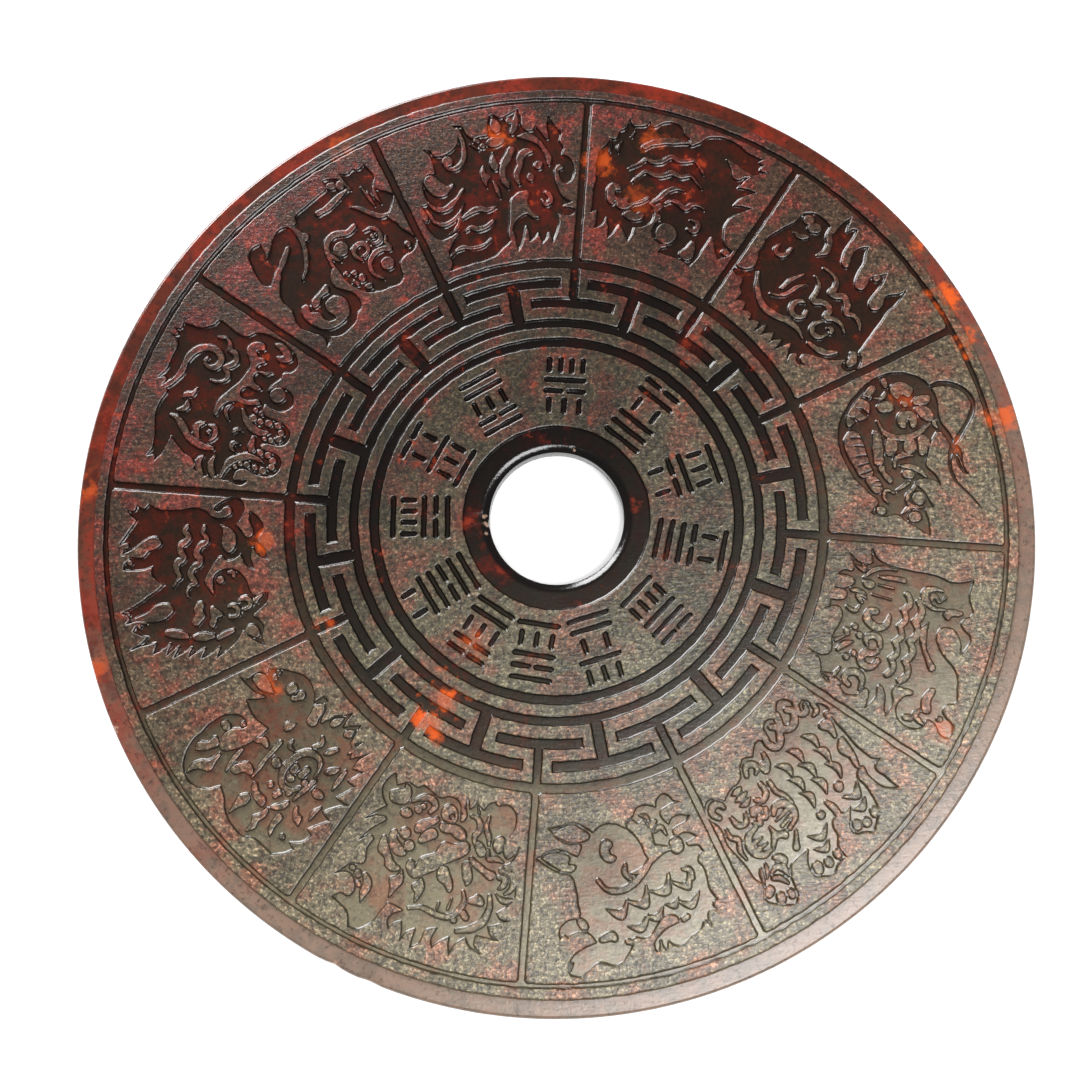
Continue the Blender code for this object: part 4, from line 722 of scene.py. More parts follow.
def snake(panel):
    panel.hollow((-16.8, 11.4, 1), (-15.4, 13.2), (-13, 15.1), (-10.4, 16.7), (-8, 17), (-5.4, 16.2),
                 (-3.7, 14.8, 1), (-3.3, 17.3, 1), (-1.4, 17.2), (0.6, 16), (1.6, 14.2, 1), (2, 16.2),
                 (3.4, 18.2), (4.4, 19.9, 1), (4.9, 17.4), (5.4, 16.2, 1), (7.8, 20, 1), (8.7, 17),
                 (9.6, 15.3, 1), (11, 17.3, 1), (11.3, 14.4), (12, 12.6, 1), (14.2, 17.3, 1), (13.7, 13.8),
                 (14.3, 11.8, 1), (16.5, 13.3, 1), (15.8, 9.2, 1), (18, 9.8, 1), (16.9, 4.7, 1),
                 (20.2, 5.7, 1), (18.4, 3), (17.6, 0.2, 1), (19.9, 0.2, 1), (18.2, -4.8, 1), (20, -4.9, 1),
                 (19.4, -7.6), (17.8, -9.8, 1), (19.6, -10, 1), (18.8, -12.4), (17, -14.7, 1), (14.4, -15),
                 (11.6, -15.5), (9.6, -17.2), (5.6, -17.6), (2.4, -16.8), (0, -15.2), (-2.8, -14.1, 1),
                 (-4.2, -16.6), (-6.4, -18.4), (-9, -19), (-11.4, -18.2), (-13.6, -16.2), (-15, -13.4),
                 (-15.6, -9), (-15.7, -5.4), (-15, -3), (-13.4, -0.8), (-11, 0), (-9.5, -0.7), (-9.8, -1.7),
                 (-11, -3.2), (-11.6, -5.6), (-10.8, -7.9), (-9.4, -8.6), (-7.6, -6.6), (-6.2, -3),
                 (-5.8, 0), (-6, 2.5, 1), (-8.4, 1.9), (-12, 2), (-14.6, 2.9, 1), (-13.4, 4.4),
                 (-12.1, 6.7, 1), (-14.4, 5.5), (-17, 5.1), (-20.2, 5, 1), (-18.4, 6), (-18, 7.6),
                 (-17.5, 9.6), (-16.2, 10.6))
    panel.island((-17.8, 8.4), (-16.2, 9.8), (-13.6, 9.5), (-11.3, 8.8, 1), (-13, 7.5), (-15.4, 6.8),
                 (-17.4, 7.2))
    panel.beads((-14.5, 12.7, 0.5), (-14.1, 11.1, 0.7))
    panel.island((-10.5, 12.5), (-9.8, 13.8), (-8.8, 13.6), (-8.6, 12), (-9.2, 11.1), (-10.2, 11.5))
    panel.island((-7.7, 13.6), (-6.8, 14.3), (-5.9, 13.4), (-6.4, 12), (-7.7, 11), (-8.1, 11.5),
                 (-7.6, 12.4))
    panel.island((-2.8, 14.6), (-1.6, 15.9), (-0.6, 15), (0.1, 13), (0.7, 11.7), (0, 10.5), (-1.2, 10.5),
                 (-2, 12.4))
    panel.ridge(1.1, (-1.3, 16.7), (-0.1, 16.2), (0.8, 14.4), (1.2, 13), tip=0.7)
    panel.island((3.9, 17.7, 1), (4.2, 15.8), (3.2, 14.1), (2.5, 15.4))
    panel.island((7.7, 17.8, 1), (8.2, 15.6), (7, 15), (6.5, 16))
    panel.ridge(0.8, (9.4, 15.4), (10.8, 14.8), (10.9, 13))
    panel.ridge(1.1, (4.1, 10.9), (5, 10), (4.4, 8), tip=0.6)
    panel.ridge(1.2, (8.5, 11.7), (8, 10.4), (7.4, 9), tip=0.5)
    panel.ridge(1.3, (12.2, 9.1), (11.6, 7.6), (10.8, 6.3), tip=0.4)
    panel.ridge(1.1, (13.7, 10), (14.2, 7.6), (14.9, 5.1), tip=0.6)
    panel.island((-2.5, 8.3, 1), (-4.2, 6.4), (-2.9, 5.3), (-2.3, 6.8))
    panel.ridge(0.8, (0.1, 5.2), (0.6, 3.9), (2, 4), tip=0.6)
    panel.ridge(1.5, (9.5, -0.6), (8.6, -2.2), (6.6, -2.9), (4.6, -1.6), (3.5, 1.4), (3.8, 4.9), (5.6, 6.9),
                (7.8, 7.1), (9.4, 5.5), (10, 3.8), tip=0.5, tail=0.3)
    panel.beads((7.6, 2.6, 0.7, 2.2, 95), (5.4, 1.5, 0.7, 1.6, 100), (9.5, 1.3, 0.6, 1.3, 90),
                (6.6, -0.7, 0.7, 1.3, 60))
    panel.ridge(1, (10.8, 3.4), (10.7, 0), (10.8, -3.2), tip=0.6)
    panel.ridge(1, (-1.5, 2.8), (-0.8, -2), (0.5, -7.2), tip=0.8)
    panel.island((-5.7, -1.7), (-4.7, 0.9), (-2.6, -0.3), (-4.2, -0.6))
    panel.island((0.3, -1), (1.4, 0.1), (2.6, -0.4), (2, -1.9))
    panel.beads((-10.5, -1.2, 0.6), (-13, -4.4, 0.9, 1.4, 0))
    panel.ridge(1.1, (-6.1, -5), (-5.6, -8), (-4.7, -10.8), tip=0.6)
    panel.island((-4.1, -9.8), (-3.4, -6.3), (-2.6, -5.6), (-0.2, -6.9), (-1.8, -7.7), (-2.8, -9.8))
    panel.island((-12.4, -7.8), (-10.7, -8.1), (-11.1, -10.6), (-13.2, -13.2, 1), (-14.1, -11.6),
                 (-12.8, -10))
    panel.island((-8.5, -9.4), (-7.8, -11.6), (-7.1, -13.6), (-9.4, -15.4), (-10.4, -18.1, 1), (-11.1, -16),
                 (-10.5, -13.8), (-9.2, -12.4))
    panel.beads((8.8, -2.9, 0.5, 1.6, 95), (7.3, -5.2, 0.6, 1.8, 80), (4.6, -4.9, 0.6))
    panel.island((10.6, -4.3), (10.9, -5.4), (9.6, -7.8), (8.8, -8.3), (9.3, -6.2))
    panel.island((1.8, -7.2), (3.6, -7.9), (6.8, -8.2), (7.2, -9.4), (5, -9.8), (2.6, -9))
    panel.island((12, 2), (12.9, 2.7), (14.8, 2.4), (13.4, 0.8))
    panel.ridge(0.9, (16.3, 0.4), (16.2, -1.4), (16.7, -3.2))
    panel.island((12.6, -3.4), (13.8, -4.3), (15, -4.1), (15.9, -6, 1), (14, -5.8))
    panel.island((11.3, -7.4), (12.2, -7.6), (12.6, -9.8), (13.6, -12.4, 1), (12.2, -11.6), (11.4, -10.2))
    panel.island((3.4, -10.1), (4.3, -12), (3.6, -14), (3.3, -16.2, 1), (2.4, -13.8), (1.9, -11.8))
    panel.island((8.4, -8.7), (9.3, -10.4), (9.2, -12), (9.9, -13.8), (9, -15.8, 1), (8.3, -13.6),
                 (7.5, -12.6), (8.2, -11))
    panel.bead(15.6, -10.4, 0.5)


def horse(panel):
    panel.hollow((-19.4, 10.6), (-18.6, 12.6), (-16.8, 13.2), (-14.8, 12.6), (-12.6, 10.4, 1), (-11, 11.6),
                 (-9, 12.8), (-9.2, 13.8), (-10.6, 14.3), (-13, 13.7), (-15.3, 14.2, 1), (-14.2, 15.6),
                 (-12, 16.8), (-9.8, 16.7), (-7.8, 15), (-6, 16.2), (-2.8, 16.9, 1), (-3.8, 15),
                 (-6.2, 13.6, 1), (-4.4, 13), (-1, 13.3, 1), (-2.2, 11.4), (-5.2, 10.5, 1), (-4.4, 8.8),
                 (-4.4, 7), (-5.6, 5.9), (-4.4, 4.2), (-2.4, 2.4), (-0.4, 1.2), (1.4, 1.8), (3.2, 3, 1),
                 (1, 3), (-1.4, 3.6), (-2.4, 5.6), (-2.2, 8), (-1.2, 9.6), (1, 11), (4, 11.7), (5.2, 12.4),
                 (4.8, 14.4), (5, 16, 1), (7.4, 14.8), (9, 12.8), (9.8, 11.4), (10.8, 12.6), (13, 13.6),
                 (15.4, 12.8), (17.4, 13.1, 1), (16, 11), (13.3, 8.4, 1), (15.4, 6.4), (17, 4.2),
                 (18.4, 1.5, 1), (17, 2), (16.1, 2.6), (17, 0.4), (17.8, -2.2, 1), (16.6, -1.4),
                 (15.6, -0.8), (16, -2.6), (17, -5, 1), (15.8, -4.6), (14.8, -3.8), (15.6, -6),
                 (16.5, -8.6, 1), (15.2, -7.8), (14.1, -6.8), (15.5, -10, 1), (14, -9.4), (13, -8.6),
                 (14, -11), (14.7, -13.2, 1), (13.4, -12.6), (12.4, -12), (12.2, -14.6), (12.6, -18.3, 1),
                 (11.6, -15.8), (10.3, -13.8, 1), (9.6, -15.6), (8.4, -17.3, 1), (7.2, -16), (6.9, -13.6),
                 (6.2, -15), (6.4, -18.6, 1), (5.2, -17.6), (3.6, -19.2, 1), (2.8, -17), (1.4, -13.8),
                 (0, -11), (-1.4, -8.4, 1), (-2.6, -10), (-4.2, -11), (-6.2, -10.6, 1), (-5.8, -13),
                 (-6.7, -17.4, 1), (-8.2, -17), (-9.4, -15.6), (-10.2, -17.5, 1), (-11.6, -16.8),
                 (-13.2, -17.6, 1), (-14.8, -16), (-16.4, -14.4), (-18.2, -12.9, 1), (-19.4, -14),
                 (-21, -14.7, 1), (-20.6, -12.8), (-22, -12.2, 1), (-20.6, -10.6), (-21.6, -9.2, 1),
                 (-20, -7.4), (-19.2, -5), (-18.8, -2), (-18.6, 1.6), (-17.4, 3.8), (-15.8, 5.2),
                 (-14.9, 6.8), (-15, 8.6), (-16, 9.9), (-17, 9.8), (-17.4, 8.2), (-16.6, 7), (-17.2, 5.9),
                 (-18.6, 7.4))
    panel.island((-13, 6.8), (-12.4, 8.4), (-10.4, 9.9), (-8.4, 9.9), (-6.6, 9), (-6.2, 7.8), (-7.4, 6.7),
                 (-10, 6.9), (-12.4, 7.2))
    panel.ridge(1.4, (-13.4, 3), (-12.4, 2.4), (-10.6, 3.2), (-9.8, 3), (-9, 1.2), (-7.4, 0.2), (-5.6, 1),
                (-4.8, 0.6), (-4.2, -1), (-3, -1.8), (-1.4, -1.4), (-0.4, -1), (0, -2.2), (1, -3.2),
                (2.4, -3.2), tip=0.6)
    panel.ridge(1.5, (-14.2, -1), (-13.4, -1.8), (-11.8, -1), (-10.8, -1.8), (-9.8, -3.4), (-8, -3.2),
                (-6.8, -3), (-6, -4.6), (-4.4, -5), (-2.4, -4.6), (-1.6, -5.4), (-0.4, -6.2), tip=0.6)
    panel.ridge(0.8, (-0.2, 8.2), (-1.4, 8.2), (-1.4, 7), tip=0.6, tail=0.6)
    panel.bead(0, 5, 0.9)
    panel.ridge(1.2, (8, 9.6), (7.4, 11), (6, 11), (5.4, 9.6), (5.8, 8.4), tip=0.6)
    panel.ridge(1.1, (9.2, 6), (9, 7.8), (7.6, 8), (6.6, 6.8), (6.8, 5.8), tip=0.6)
    panel.island((6.1, 1.8), (6.8, 3.2), (8.6, 4.2), (8.9, 3), (10, 2.6), (11, 1.4), (9.8, 0.8), (8.6, 1.6),
                 (7.4, 1.5))
    panel.island((4.2, -0.6), (5, 0.4), (6.6, -0.2), (8, 0.2), (9, -0.8), (9.8, -2.2), (8.8, -3.2),
                 (7.4, -2.2), (5.6, -2.2))
    panel.ridge(1.3, (12.6, 6.2), (13.1, 4), (13.8, 2.4), tip=0.5, tail=0.6)
    panel.ridge(1.9, (13, 1.3), (12.7, -1), (12.5, -3), tip=0.6, tail=0.6)
    panel.ridge(1.9, (11.8, -4.7), (10.9, -7), (10.2, -9.4), tip=0.6, tail=0.6)
    panel.island((11.9, 10.2), (12.2, 11.4), (15.2, 11.9), (14.4, 10.2), (13.2, 9))
    panel.island((3.1, -9), (3.9, -7.4), (5.2, -7), (6.5, -8.4), (7, -10.6), (6.8, -13), (6.1, -15),
                 (6, -18, 1), (5.2, -15.6), (4.4, -13), (3.3, -11.2))
    panel.island((-13.3, -9.6), (-12.6, -8), (-11.5, -7.6), (-10.6, -8.8), (-10, -11), (-9, -12.4),
                 (-9.3, -14.6), (-10.4, -17.2, 1), (-11, -15.6), (-11.8, -13.6), (-12.8, -11.8))
    panel.bead(-8.1, -15.7, 0.6)
    panel.ridge(0.8, (-12.6, -17), (-12.4, -15.8), (-11.8, -16.8), tip=0.6)
    panel.bead(7.6, -15.5, 0.5)
    panel.ridge(0.8, (3.6, -18.4), (4, -17.6), (4.2, -18.2), tip=0.6)
    panel.island((5.4, 14.4), (6.2, 13.4), (7.2, 12.4), (6.4, 11.8), (5.8, 12.4))


def goat(panel):
    panel.hollow((-19.4, 8.4), (-18.4, 10.6), (-17, 12.8), (-14.6, 14), (-12.6, 13.2), (-11.8, 11.4),
                 (-10.2, 11.2), (-8.2, 9.9), (-6.4, 9.4, 1), (-7.8, 11), (-8.3, 13), (-7.8, 15), (-6, 16.4),
                 (-4, 16.2), (-2.8, 15), (-2.5, 12.6), (-3, 10.1, 1), (-1.4, 10), (-0.5, 11), (-0.2, 14.4),
                 (0.6, 17), (2.6, 18.8), (4.6, 18.4), (5.8, 16.4), (6.2, 13.6), (7.2, 12.8), (7.8, 14),
                 (7.6, 16.2), (8.4, 18.4), (10.4, 19.3), (12.4, 18.8), (13.8, 17), (14.1, 14.6),
                 (13.7, 11.6), (14.2, 10), (15.6, 9.4), (16.8, 10.2), (16.6, 11.6), (16.1, 12.9),
                 (17.3, 12.4), (17.9, 10.6), (17.6, 8.6), (17.9, 6.4), (17.5, 5.6), (18.8, 4.8, 1),
                 (18.2, 3), (18.9, 2.5, 1), (17.7, -0.5, 1), (16.4, -0.8), (15.3, -1.9), (14.8, -4),
                 (13.8, -5.8), (12, -8.7, 1), (14, -8.8), (16.6, -9.2), (19, -10.2, 1), (17.6, -10.6),
                 (18.3, -12.4, 1), (16, -11.9), (13, -12.6), (10, -13.8), (7, -14.6), (4, -14.4),
                 (1.4, -14), (0.8, -15.6, 1), (-1.4, -15.4), (-0.9, -17.3, 1), (-3, -16.3), (-7, -16),
                 (-11, -16.2), (-12.2, -19, 1), (-12.6, -16.8), (-14, -18.6, 1), (-14.4, -16.8),
                 (-15.8, -16.6, 1), (-16, -13), (-16.6, -11), (-18, -9.2, 1), (-19.2, -8.6), (-18.8, -6),
                 (-17.5, -2), (-17.8, -0.6), (-19.4, 1.4), (-19.8, 4), (-19.6, 6.4))
    panel.island((-18.7, 7.6), (-17.4, 11), (-15.8, 12.2), (-14.6, 11), (-14.4, 9), (-15.2, 8.4),
                 (-16, 9.6), (-17, 8.4), (-18.2, 6.8))
    panel.island((-17.2, 4.4), (-17.3, 2.6), (-16.2, 1), (-14.6, 0.7), (-12.6, 2), (-11, 3), (-9, 2.8),
                 (-6, 1.8), (-3, 0.1), (-0.6, -1.1), (2, -1.2), (3.6, -0.6), (1.4, 0.1), (-0.4, 1),
                 (-1.4, 2.8), (-1.4, 5.6), (-2.6, 8.8, 1), (-3.4, 8.4), (-2.7, 6), (-3, 3.6), (-4.4, 3),
                 (-5.8, 4.4), (-5.6, 6.8), (-6.2, 7.6), (-7.4, 5.4), (-8.8, 4.8), (-10, 5.4), (-9.8, 7.4),
                 (-11, 8.8, 1), (-10.6, 6.4), (-10.8, 4.6), (-12, 4.8), (-13, 6.2), (-13.9, 5.8),
                 (-13.8, 4), (-15, 3.2), (-16, 4.8))
    panel.bead(-6.2, 12.1, 1.9)
    panel.ridge(1.8, (3.2, 13.3), (3.9, 12), (3.6, 9.4), (2.2, 7.2), (0, 5.4), tip=0.3, tail=0.4)
    panel.beads((1, 15.1, 0.8), (2.4, 16.4, 0.8), (4.1, 16.4, 0.8), (5, 14.7, 0.6), (5.2, 13.1, 0.6),
                (1.2, 12.6, 0.9), (1.4, 10.6, 0.7), (-0.5, 10, 0.6), (-0.8, 8.4, 0.6), (1.2, 8.6, 0.9),
                (8.6, 15.4, 0.8), (9.6, 17, 0.8), (11.2, 17.3, 0.8), (12.6, 15.6, 0.9), (12.6, 13.5, 0.8),
                (12.6, 11.5, 0.8), (12.9, 9.8, 0.6), (13.9, 8.9, 0.6), (15.4, 11.3, 0.9),
                (16.5, 9.9, 0.5), (8.7, 13.4, 0.8))
    panel.ridge(1.8, (10.5, 14.4), (10.3, 11.4), (11.6, 8.8), (14, 6.9), (17.4, 6.5), tip=0.3, tail=0.4)
    panel.island((5.3, 10.4), (6.2, 11), (7.4, 11.2), (8.4, 11.9), (9.4, 11), (8.6, 10), (7, 9.9))
    panel.ridge(0.8, (5, 7), (5.2, 5.7), (6.3, 5.2))
    panel.ridge(1, (8.2, 7.6), (8.7, 6.2), (10, 6.4), (10.5, 7.6))
    panel.ridge(1.3, (6.4, -0.9), (6.6, 0.8), (8.4, 1.3), (10, 0.7))
    panel.bead(8.1, -0.4, 0.6)
    panel.ridge(1.4, (6.2, -2.2), (7.2, -3.6), (9.2, -3.2), (10.2, -2.2))
    panel.ridge(1.8, (11.5, 1.9), (11.8, -0.4), (11, -3.6), (9, -6.6), (7.2, -9), (7, -10.8), tip=0.6)
    panel.ridge(1.5, (13, 3.2), (15.2, 3), (17, 4), (18.6, 5.2))
    panel.ridge(1.4, (13.8, 0.6), (15.6, 0), (17.4, 1), (18.7, 2.8))
    panel.ridge(1.2, (-1.2, -7.2), (0.4, -7.8), (1, -9.2), (1.8, -9.6))
    panel.ridge(1.4, (2.2, -8.2), (3.8, -7.9), (5.2, -9.6))
    panel.ridge(1, (-0.2, 2.3), (1.2, 1.5), (3.4, 2.8))
    panel.ridge(1.4, (-15.2, -7), (-15.5, -5), (-14.4, -3.6), (-13.2, -3.2), (-12.6, -1.6), (-10.8, -0.8),
                (-9.4, -1.6), (-8.6, -2.6), (-7.4, -1.4), (-5.8, -1.4), (-4.6, -3), (-4.4, -4.8))
    panel.ridge(1.7, (1.2, -15.4), (-1, -13.6), (-4, -12.4), (-8, -12.2), (-10.8, -10.6), (-12, -8),
                (-11.6, -5.6), (-10, -4.3), (-8, -4.8), (-7.4, -6.6), (-8.4, -8), (-9.7, -7.6), tip=0.7)


def monkey(panel):
    panel.hollow((-19, 11), (-17, 11.8), (-14.8, 11.6), (-12.8, 12), (-11.8, 13.6), (-10.9, 15.6),
                 (-9.6, 16.2), (-7, 15.7), (-3.6, 14.4), (-1.4, 12.6), (0, 10), (0.6, 7.2), (0.4, 4.6),
                 (0.6, 2.6), (2, 3), (3.4, 4.6), (3.7, 6.2), (2.4, 8.6), (1.2, 10.6), (1, 13), (2.2, 15),
                 (4, 15.6), (5.4, 16.8), (8, 17.3), (10.6, 17.1), (12.6, 15.8, 1), (13.4, 16.8),
                 (15.1, 17.4, 1), (14, 15.3), (15.4, 12.2), (16.9, 9.6, 1), (16.5, 6.6), (15.6, 4.2),
                 (16.1, 1), (15, -1.4), (13, -3.6), (11.8, -4.9), (14, -4.4), (15.4, -4), (16.7, -5),
                 (17, -7.4), (16, -11), (15, -14), (13.4, -14.8), (10.8, -14.6, 1), (11.2, -12.4),
                 (12.2, -10.2, 1), (10, -11.6), (8, -13.2), (5.6, -14.3), (3.4, -14), (2.2, -13.4),
                 (0.8, -12.8), (-0.4, -14.4), (-4, -14.9), (-8, -15), (-11, -15.4), (-11.5, -17.4, 1),
                 (-13, -16.8), (-14.7, -15.2), (-15, -12.8), (-15.4, -10.9), (-15.6, -13), (-16, -16.2, 1),
                 (-17.6, -14.8), (-19.2, -15, 1), (-20.4, -14), (-22.2, -14.3, 1), (-22.4, -12),
                 (-22, -9.6), (-20.6, -8.4), (-20.8, -6.4), (-22, -4.8), (-22.8, -3, 1), (-21, -1.3),
                 (-19.4, -0.2), (-18, 0.6), (-18.6, 3), (-18.8, 6), (-19.6, 8.6), (-20, 10.2))
    panel.ridge(1.6, (0.9, 3.6), (0, -0.6), (-1.6, -3.4), (-4.2, -4.4), (-6.2, -3.6), (-7.4, -2.7),
                (-10, -2.8), tail=0.8)
    panel.ridge(0.9, (-1.6, 2.2), (-0.8, 0.2), (-0.6, -1.6), tail=0.6)
    panel.bead(-3.6, -0.3, 1.9)
    panel.ridge(1.3, (-6.9, 12.7), (-5.8, 10.6), (-6.6, 7.6), (-9.2, 6.1), (-12, 6.6), (-13, 7.4),
                (-13.2, 5.6), (-14.4, 4.2))
    panel.beads((-10.1, 10.2, 1.7), (-17.2, 9.6, 0.8))
    panel.ridge(1.1, (-10.4, 2.3), (-11, 4), (-12.8, 4.1), (-13.8, 2), (-12.9, 0.2), (-11, -0.2), tip=0.4)
    panel.bead(-11.8, 2.2, 0.5)
    panel.ridge(1.3, (-6.9, 4.9), (-8.4, 4.6), (-9, 3), (-7.9, 1.6), (-6, 1.9), (-5.2, 3.6), (-5.8, 5.4),
                tip=0.6)
    panel.beads((-2.8, 11.8, 0.7, 1.4, -30), (-2.9, 9.1, 0.9, 1.1, 60), (-1, 9, 0.5, 2, 100),
                (-2.2, 6.8, 0.6, 1.2, 0), (-0.7, 5.6, 0.5, 1, 0), (-14.2, -13.6, 1, 1.3, 60),
                (-12.4, -14.9, 0.9, 1.4, -30))
    panel.island((3.8, 10), (4.2, 12.6), (5.8, 14.4), (8.2, 14.9), (10.8, 14.6), (13.2, 12.6), (14.4, 9.6),
                 (14.2, 6.6), (13.2, 5.4), (11.8, 5.8), (12.4, 7.6), (10.8, 9.2), (10.9, 11.4), (9.9, 12.8),
                 (8.6, 12.9), (8.5, 11.8), (9, 10.4), (8.4, 8.4), (6.6, 7.9), (4.8, 8.6))
    panel.island((5, 4.6), (5.4, 6.1), (8, 6.4), (9.6, 7.6), (11.2, 7.2), (10.8, 5.9), (8, 5.2), (6.6, 4.8))
    panel.ridge(1.4, (15.8, -3.4), (12, -5.6), (9, -7.4), (6.4, -9), tip=0.7, tail=0.8)
    panel.ridge(1.3, (8.6, -0.3), (6.2, -1.8), (3.8, -5), (2.3, -8), (1.7, -11), (2.4, -14.4), tail=1)
    panel.island((0, -8.6), (1.8, -7.6), (2.4, -9.8), (2, -12), (1.2, -11.4), (0.9, -10))
    panel.ridge(1.5, (-15.2, -11.6), (-12, -11.5), (-8, -11), (-5.4, -11.4), tail=1)
    panel.ridge(1.3, (-18.8, 0.3), (-16.8, -0.6), (-15.2, -3), (-14, -5.6), (-12.7, -7.2), tip=0.5)
    panel.ridge(0.9, (-19, -3.2), (-19.2, -5.4), (-20.2, -7.6), (-21.4, -8.8))
    panel.ridge(0.8, (-17.4, -3.9), (-17.6, -6.6), (-17.9, -9.8))
    panel.ridge(0.8, (-18.6, -5.8), (-18.3, -8))


def rooster(panel):
    panel.hollow((-18.8, 11), (-16.8, 11.4), (-15, 10.6, 1), (-14.6, 13), (-13.4, 15.6), (-12.2, 17.6, 1),
                 (-12, 16), (-11.6, 15, 1), (-10.6, 16.6), (-9.4, 17.6, 1), (-9.2, 16), (-9, 14.6, 1),
                 (-7.8, 15.8), (-6.5, 16.5, 1), (-6.7, 14), (-6.4, 12, 1), (-5.4, 14.6), (-4.4, 16.8),
                 (-3.2, 18.4, 1), (-2.9, 15.6), (-2.7, 13), (-1.8, 15.4), (0, 16.7), (2, 18.2), (4.6, 19.1),
                 (9, 19.6), (14.4, 20.4, 1), (13.5, 18.2), (13.9, 15.6), (12.6, 13.2), (10.8, 10.8),
                 (13, 11.6), (15, 12), (16.6, 10.8), (17.8, 9), (18.6, 6.8), (19.3, 5.4, 1), (17.8, 6.4),
                 (18, 4), (18.4, 2.2, 1), (17.2, 2), (17.4, -1), (17, -4.6), (15.6, -6), (14, -5.8),
                 (14, -8), (14.3, -11), (15.7, -12.8, 1), (13.9, -12.4), (13.2, -10.6), (10.8, -10.4),
                 (8.6, -11.2), (6.8, -13.2), (6.3, -16), (7.4, -18, 1), (5, -17.2), (4, -14.6),
                 (2.6, -13.4), (0.6, -13.6), (-1, -13.8), (-1.4, -16), (-3, -19), (-5, -17.8), (-8, -18.6),
                 (-10, -19.4, 1), (-10.2, -17), (-10, -14.6), (-10.6, -13.3), (-12.6, -13),
                 (-13.4, -14.2, 1), (-14.6, -12), (-15.8, -10), (-16.2, -13), (-17.2, -15.9, 1),
                 (-18.4, -13), (-19.6, -10.8), (-18.9, -8.8), (-19.4, -6.8), (-18.8, -5, 1), (-20.4, -4),
                 (-21.1, -1.6), (-20.7, 1), (-19.4, 2.6), (-17.8, 2.7), (-17, 1.2), (-17.2, -1),
                 (-18.4, -1.5), (-18, -2.3), (-16.4, -1.8), (-15.8, 0.6), (-16.1, 4), (-17.2, 6.8),
                 (-18.7, 8, 1), (-16.8, 8.6), (-19.4, 10.2))
    panel.island((-10, 10.4), (-8.6, 10.3), (-7.2, 9), (-5, 9.6), (-3.2, 11.4), (-2.5, 13.6), (-2.2, 15.6),
                 (-1.6, 14), (-2.2, 11.4), (-2.8, 8.6), (-3.4, 5.6), (-4.4, 4), (-6.6, 2.9), (-8.7, 3.4),
                 (-8, 5.2), (-8, 7.2), (-8.8, 9))
    panel.ridge(0.9, (2.8, 13.8), (5.2, 15.2), (8, 15.4), (10, 14.8), (12, 15.3), (13.4, 16.6), tip=0.6)
    panel.ridge(1.3, (1.6, 9.3), (3.6, 10.5), (6, 10.6), (7.6, 10), (8.8, 10.6), tip=0.6)
    panel.ridge(1.3, (0.3, 5.7), (2.4, 6.1), (4.4, 5.5), (7.2, 6.1), (9.4, 7.4))
    panel.ridge(1.4, (7.4, -0.6), (10, 2.2), (13.2, 4), (15.4, 3.4), (16.9, 1.4))
    panel.ridge(1.1, (8, 3.2), (9.4, 5.6), (11.8, 7.5), (13.8, 8), (15.8, 7), (17, 4.6), (17.6, 3))
    panel.ridge(0.9, (12.6, 10.8), (10.4, 8.8), (9.2, 5.8), tail=0.6)
    panel.island((9.6, -2.2), (11, -2), (13, -3.8), (14.4, -5.4), (16.2, -5.3), (16.9, -4), (16, -1.4),
                 (14.2, 0.4), (12.2, 0.3), (10.6, -1))
    panel.ridge(1.2, (11, -8), (10.4, -6.6), (8.4, -6.3), (6.4, -7.8), (5.6, -10), (5.4, -12.8),
                (6.2, -16.6), tail=0.8)
    panel.bead(10.1, -8.6, 1.4)
    panel.ridge(1.2, (-13, 4.3), (-13.7, 5.6), (-13.2, 7.1), (-12, 7.2), (-11.6, 6), tip=0.6)
    panel.beads((-9.8, -0.5, 0.8, 1.3, 60), (-12.3, -3.3, 1, 1.2, 60))
    panel.island((-11.6, -7.2), (-10.4, -8.3), (-8.6, -8), (-7.1, -6.4), (-7, -4.4), (-5.8, -2.4),
                 (-5.8, 0), (-6.6, 1), (-7, -1.4), (-8.4, -3.8), (-9.1, -5.8), (-10.4, -6.8))
    panel.island((-7.1, -9.1), (-6, -9.5), (-4.8, -8), (-3, -5.4), (-2.2, -2.6), (-2.6, 0), (-3.8, 1.6, 1),
                 (-4.3, 0.2), (-3.6, -2), (-4.4, -4.4), (-6, -6.6))
    panel.island((-2.3, -4.6), (-1.2, -3.8), (-0.3, -5.2), (-0.8, -7.2), (-1.6, -9, 1), (-2, -6.8))
    panel.ridge(1.1, (-1.2, 3.4), (-0.9, 1.4), (-0.4, -1))
    panel.island((0.2, -2.7), (1, -3.2), (1.4, -5.7, 1), (2.4, -4), (2.3, -1.4), (1.5, 0.3, 1), (1.1, -1.6))
    panel.island((-15.7, -3.6), (-15.4, -6.6), (-14.4, -9), (-12.6, -11.4), (-10.6, -12.5),
                 (-8.2, -11.9, 1), (-10.4, -10.8), (-12.6, -9.4), (-14, -7.2), (-14.6, -4.6), (-14.9, -2.9))
    panel.island((-5.3, -11.9), (-4, -10.6), (-1.6, -10.4), (-0.5, -11.6), (-1.8, -12.8), (-3.8, -12.6))
    panel.beads((0.7, -11, 0.7), (1.9, -12.7, 0.6, 1.5, -40))
    panel.ridge(0.9, (1.8, -10.2), (3.6, -12))
    panel.ridge(1.5, (-7.2, -13.2), (-8.6, -15.6), (-9.3, -18.8), tip=0.6)
    panel.bead(-7.2, -16.5, 0.9)
    panel.ridge(0.8, (-6.2, -17), (-6, -18.8))
    panel.island((-4.6, -14.6), (-3, -13.9), (-2.1, -15.4), (-2.7, -18, 1), (-3.9, -17.4))
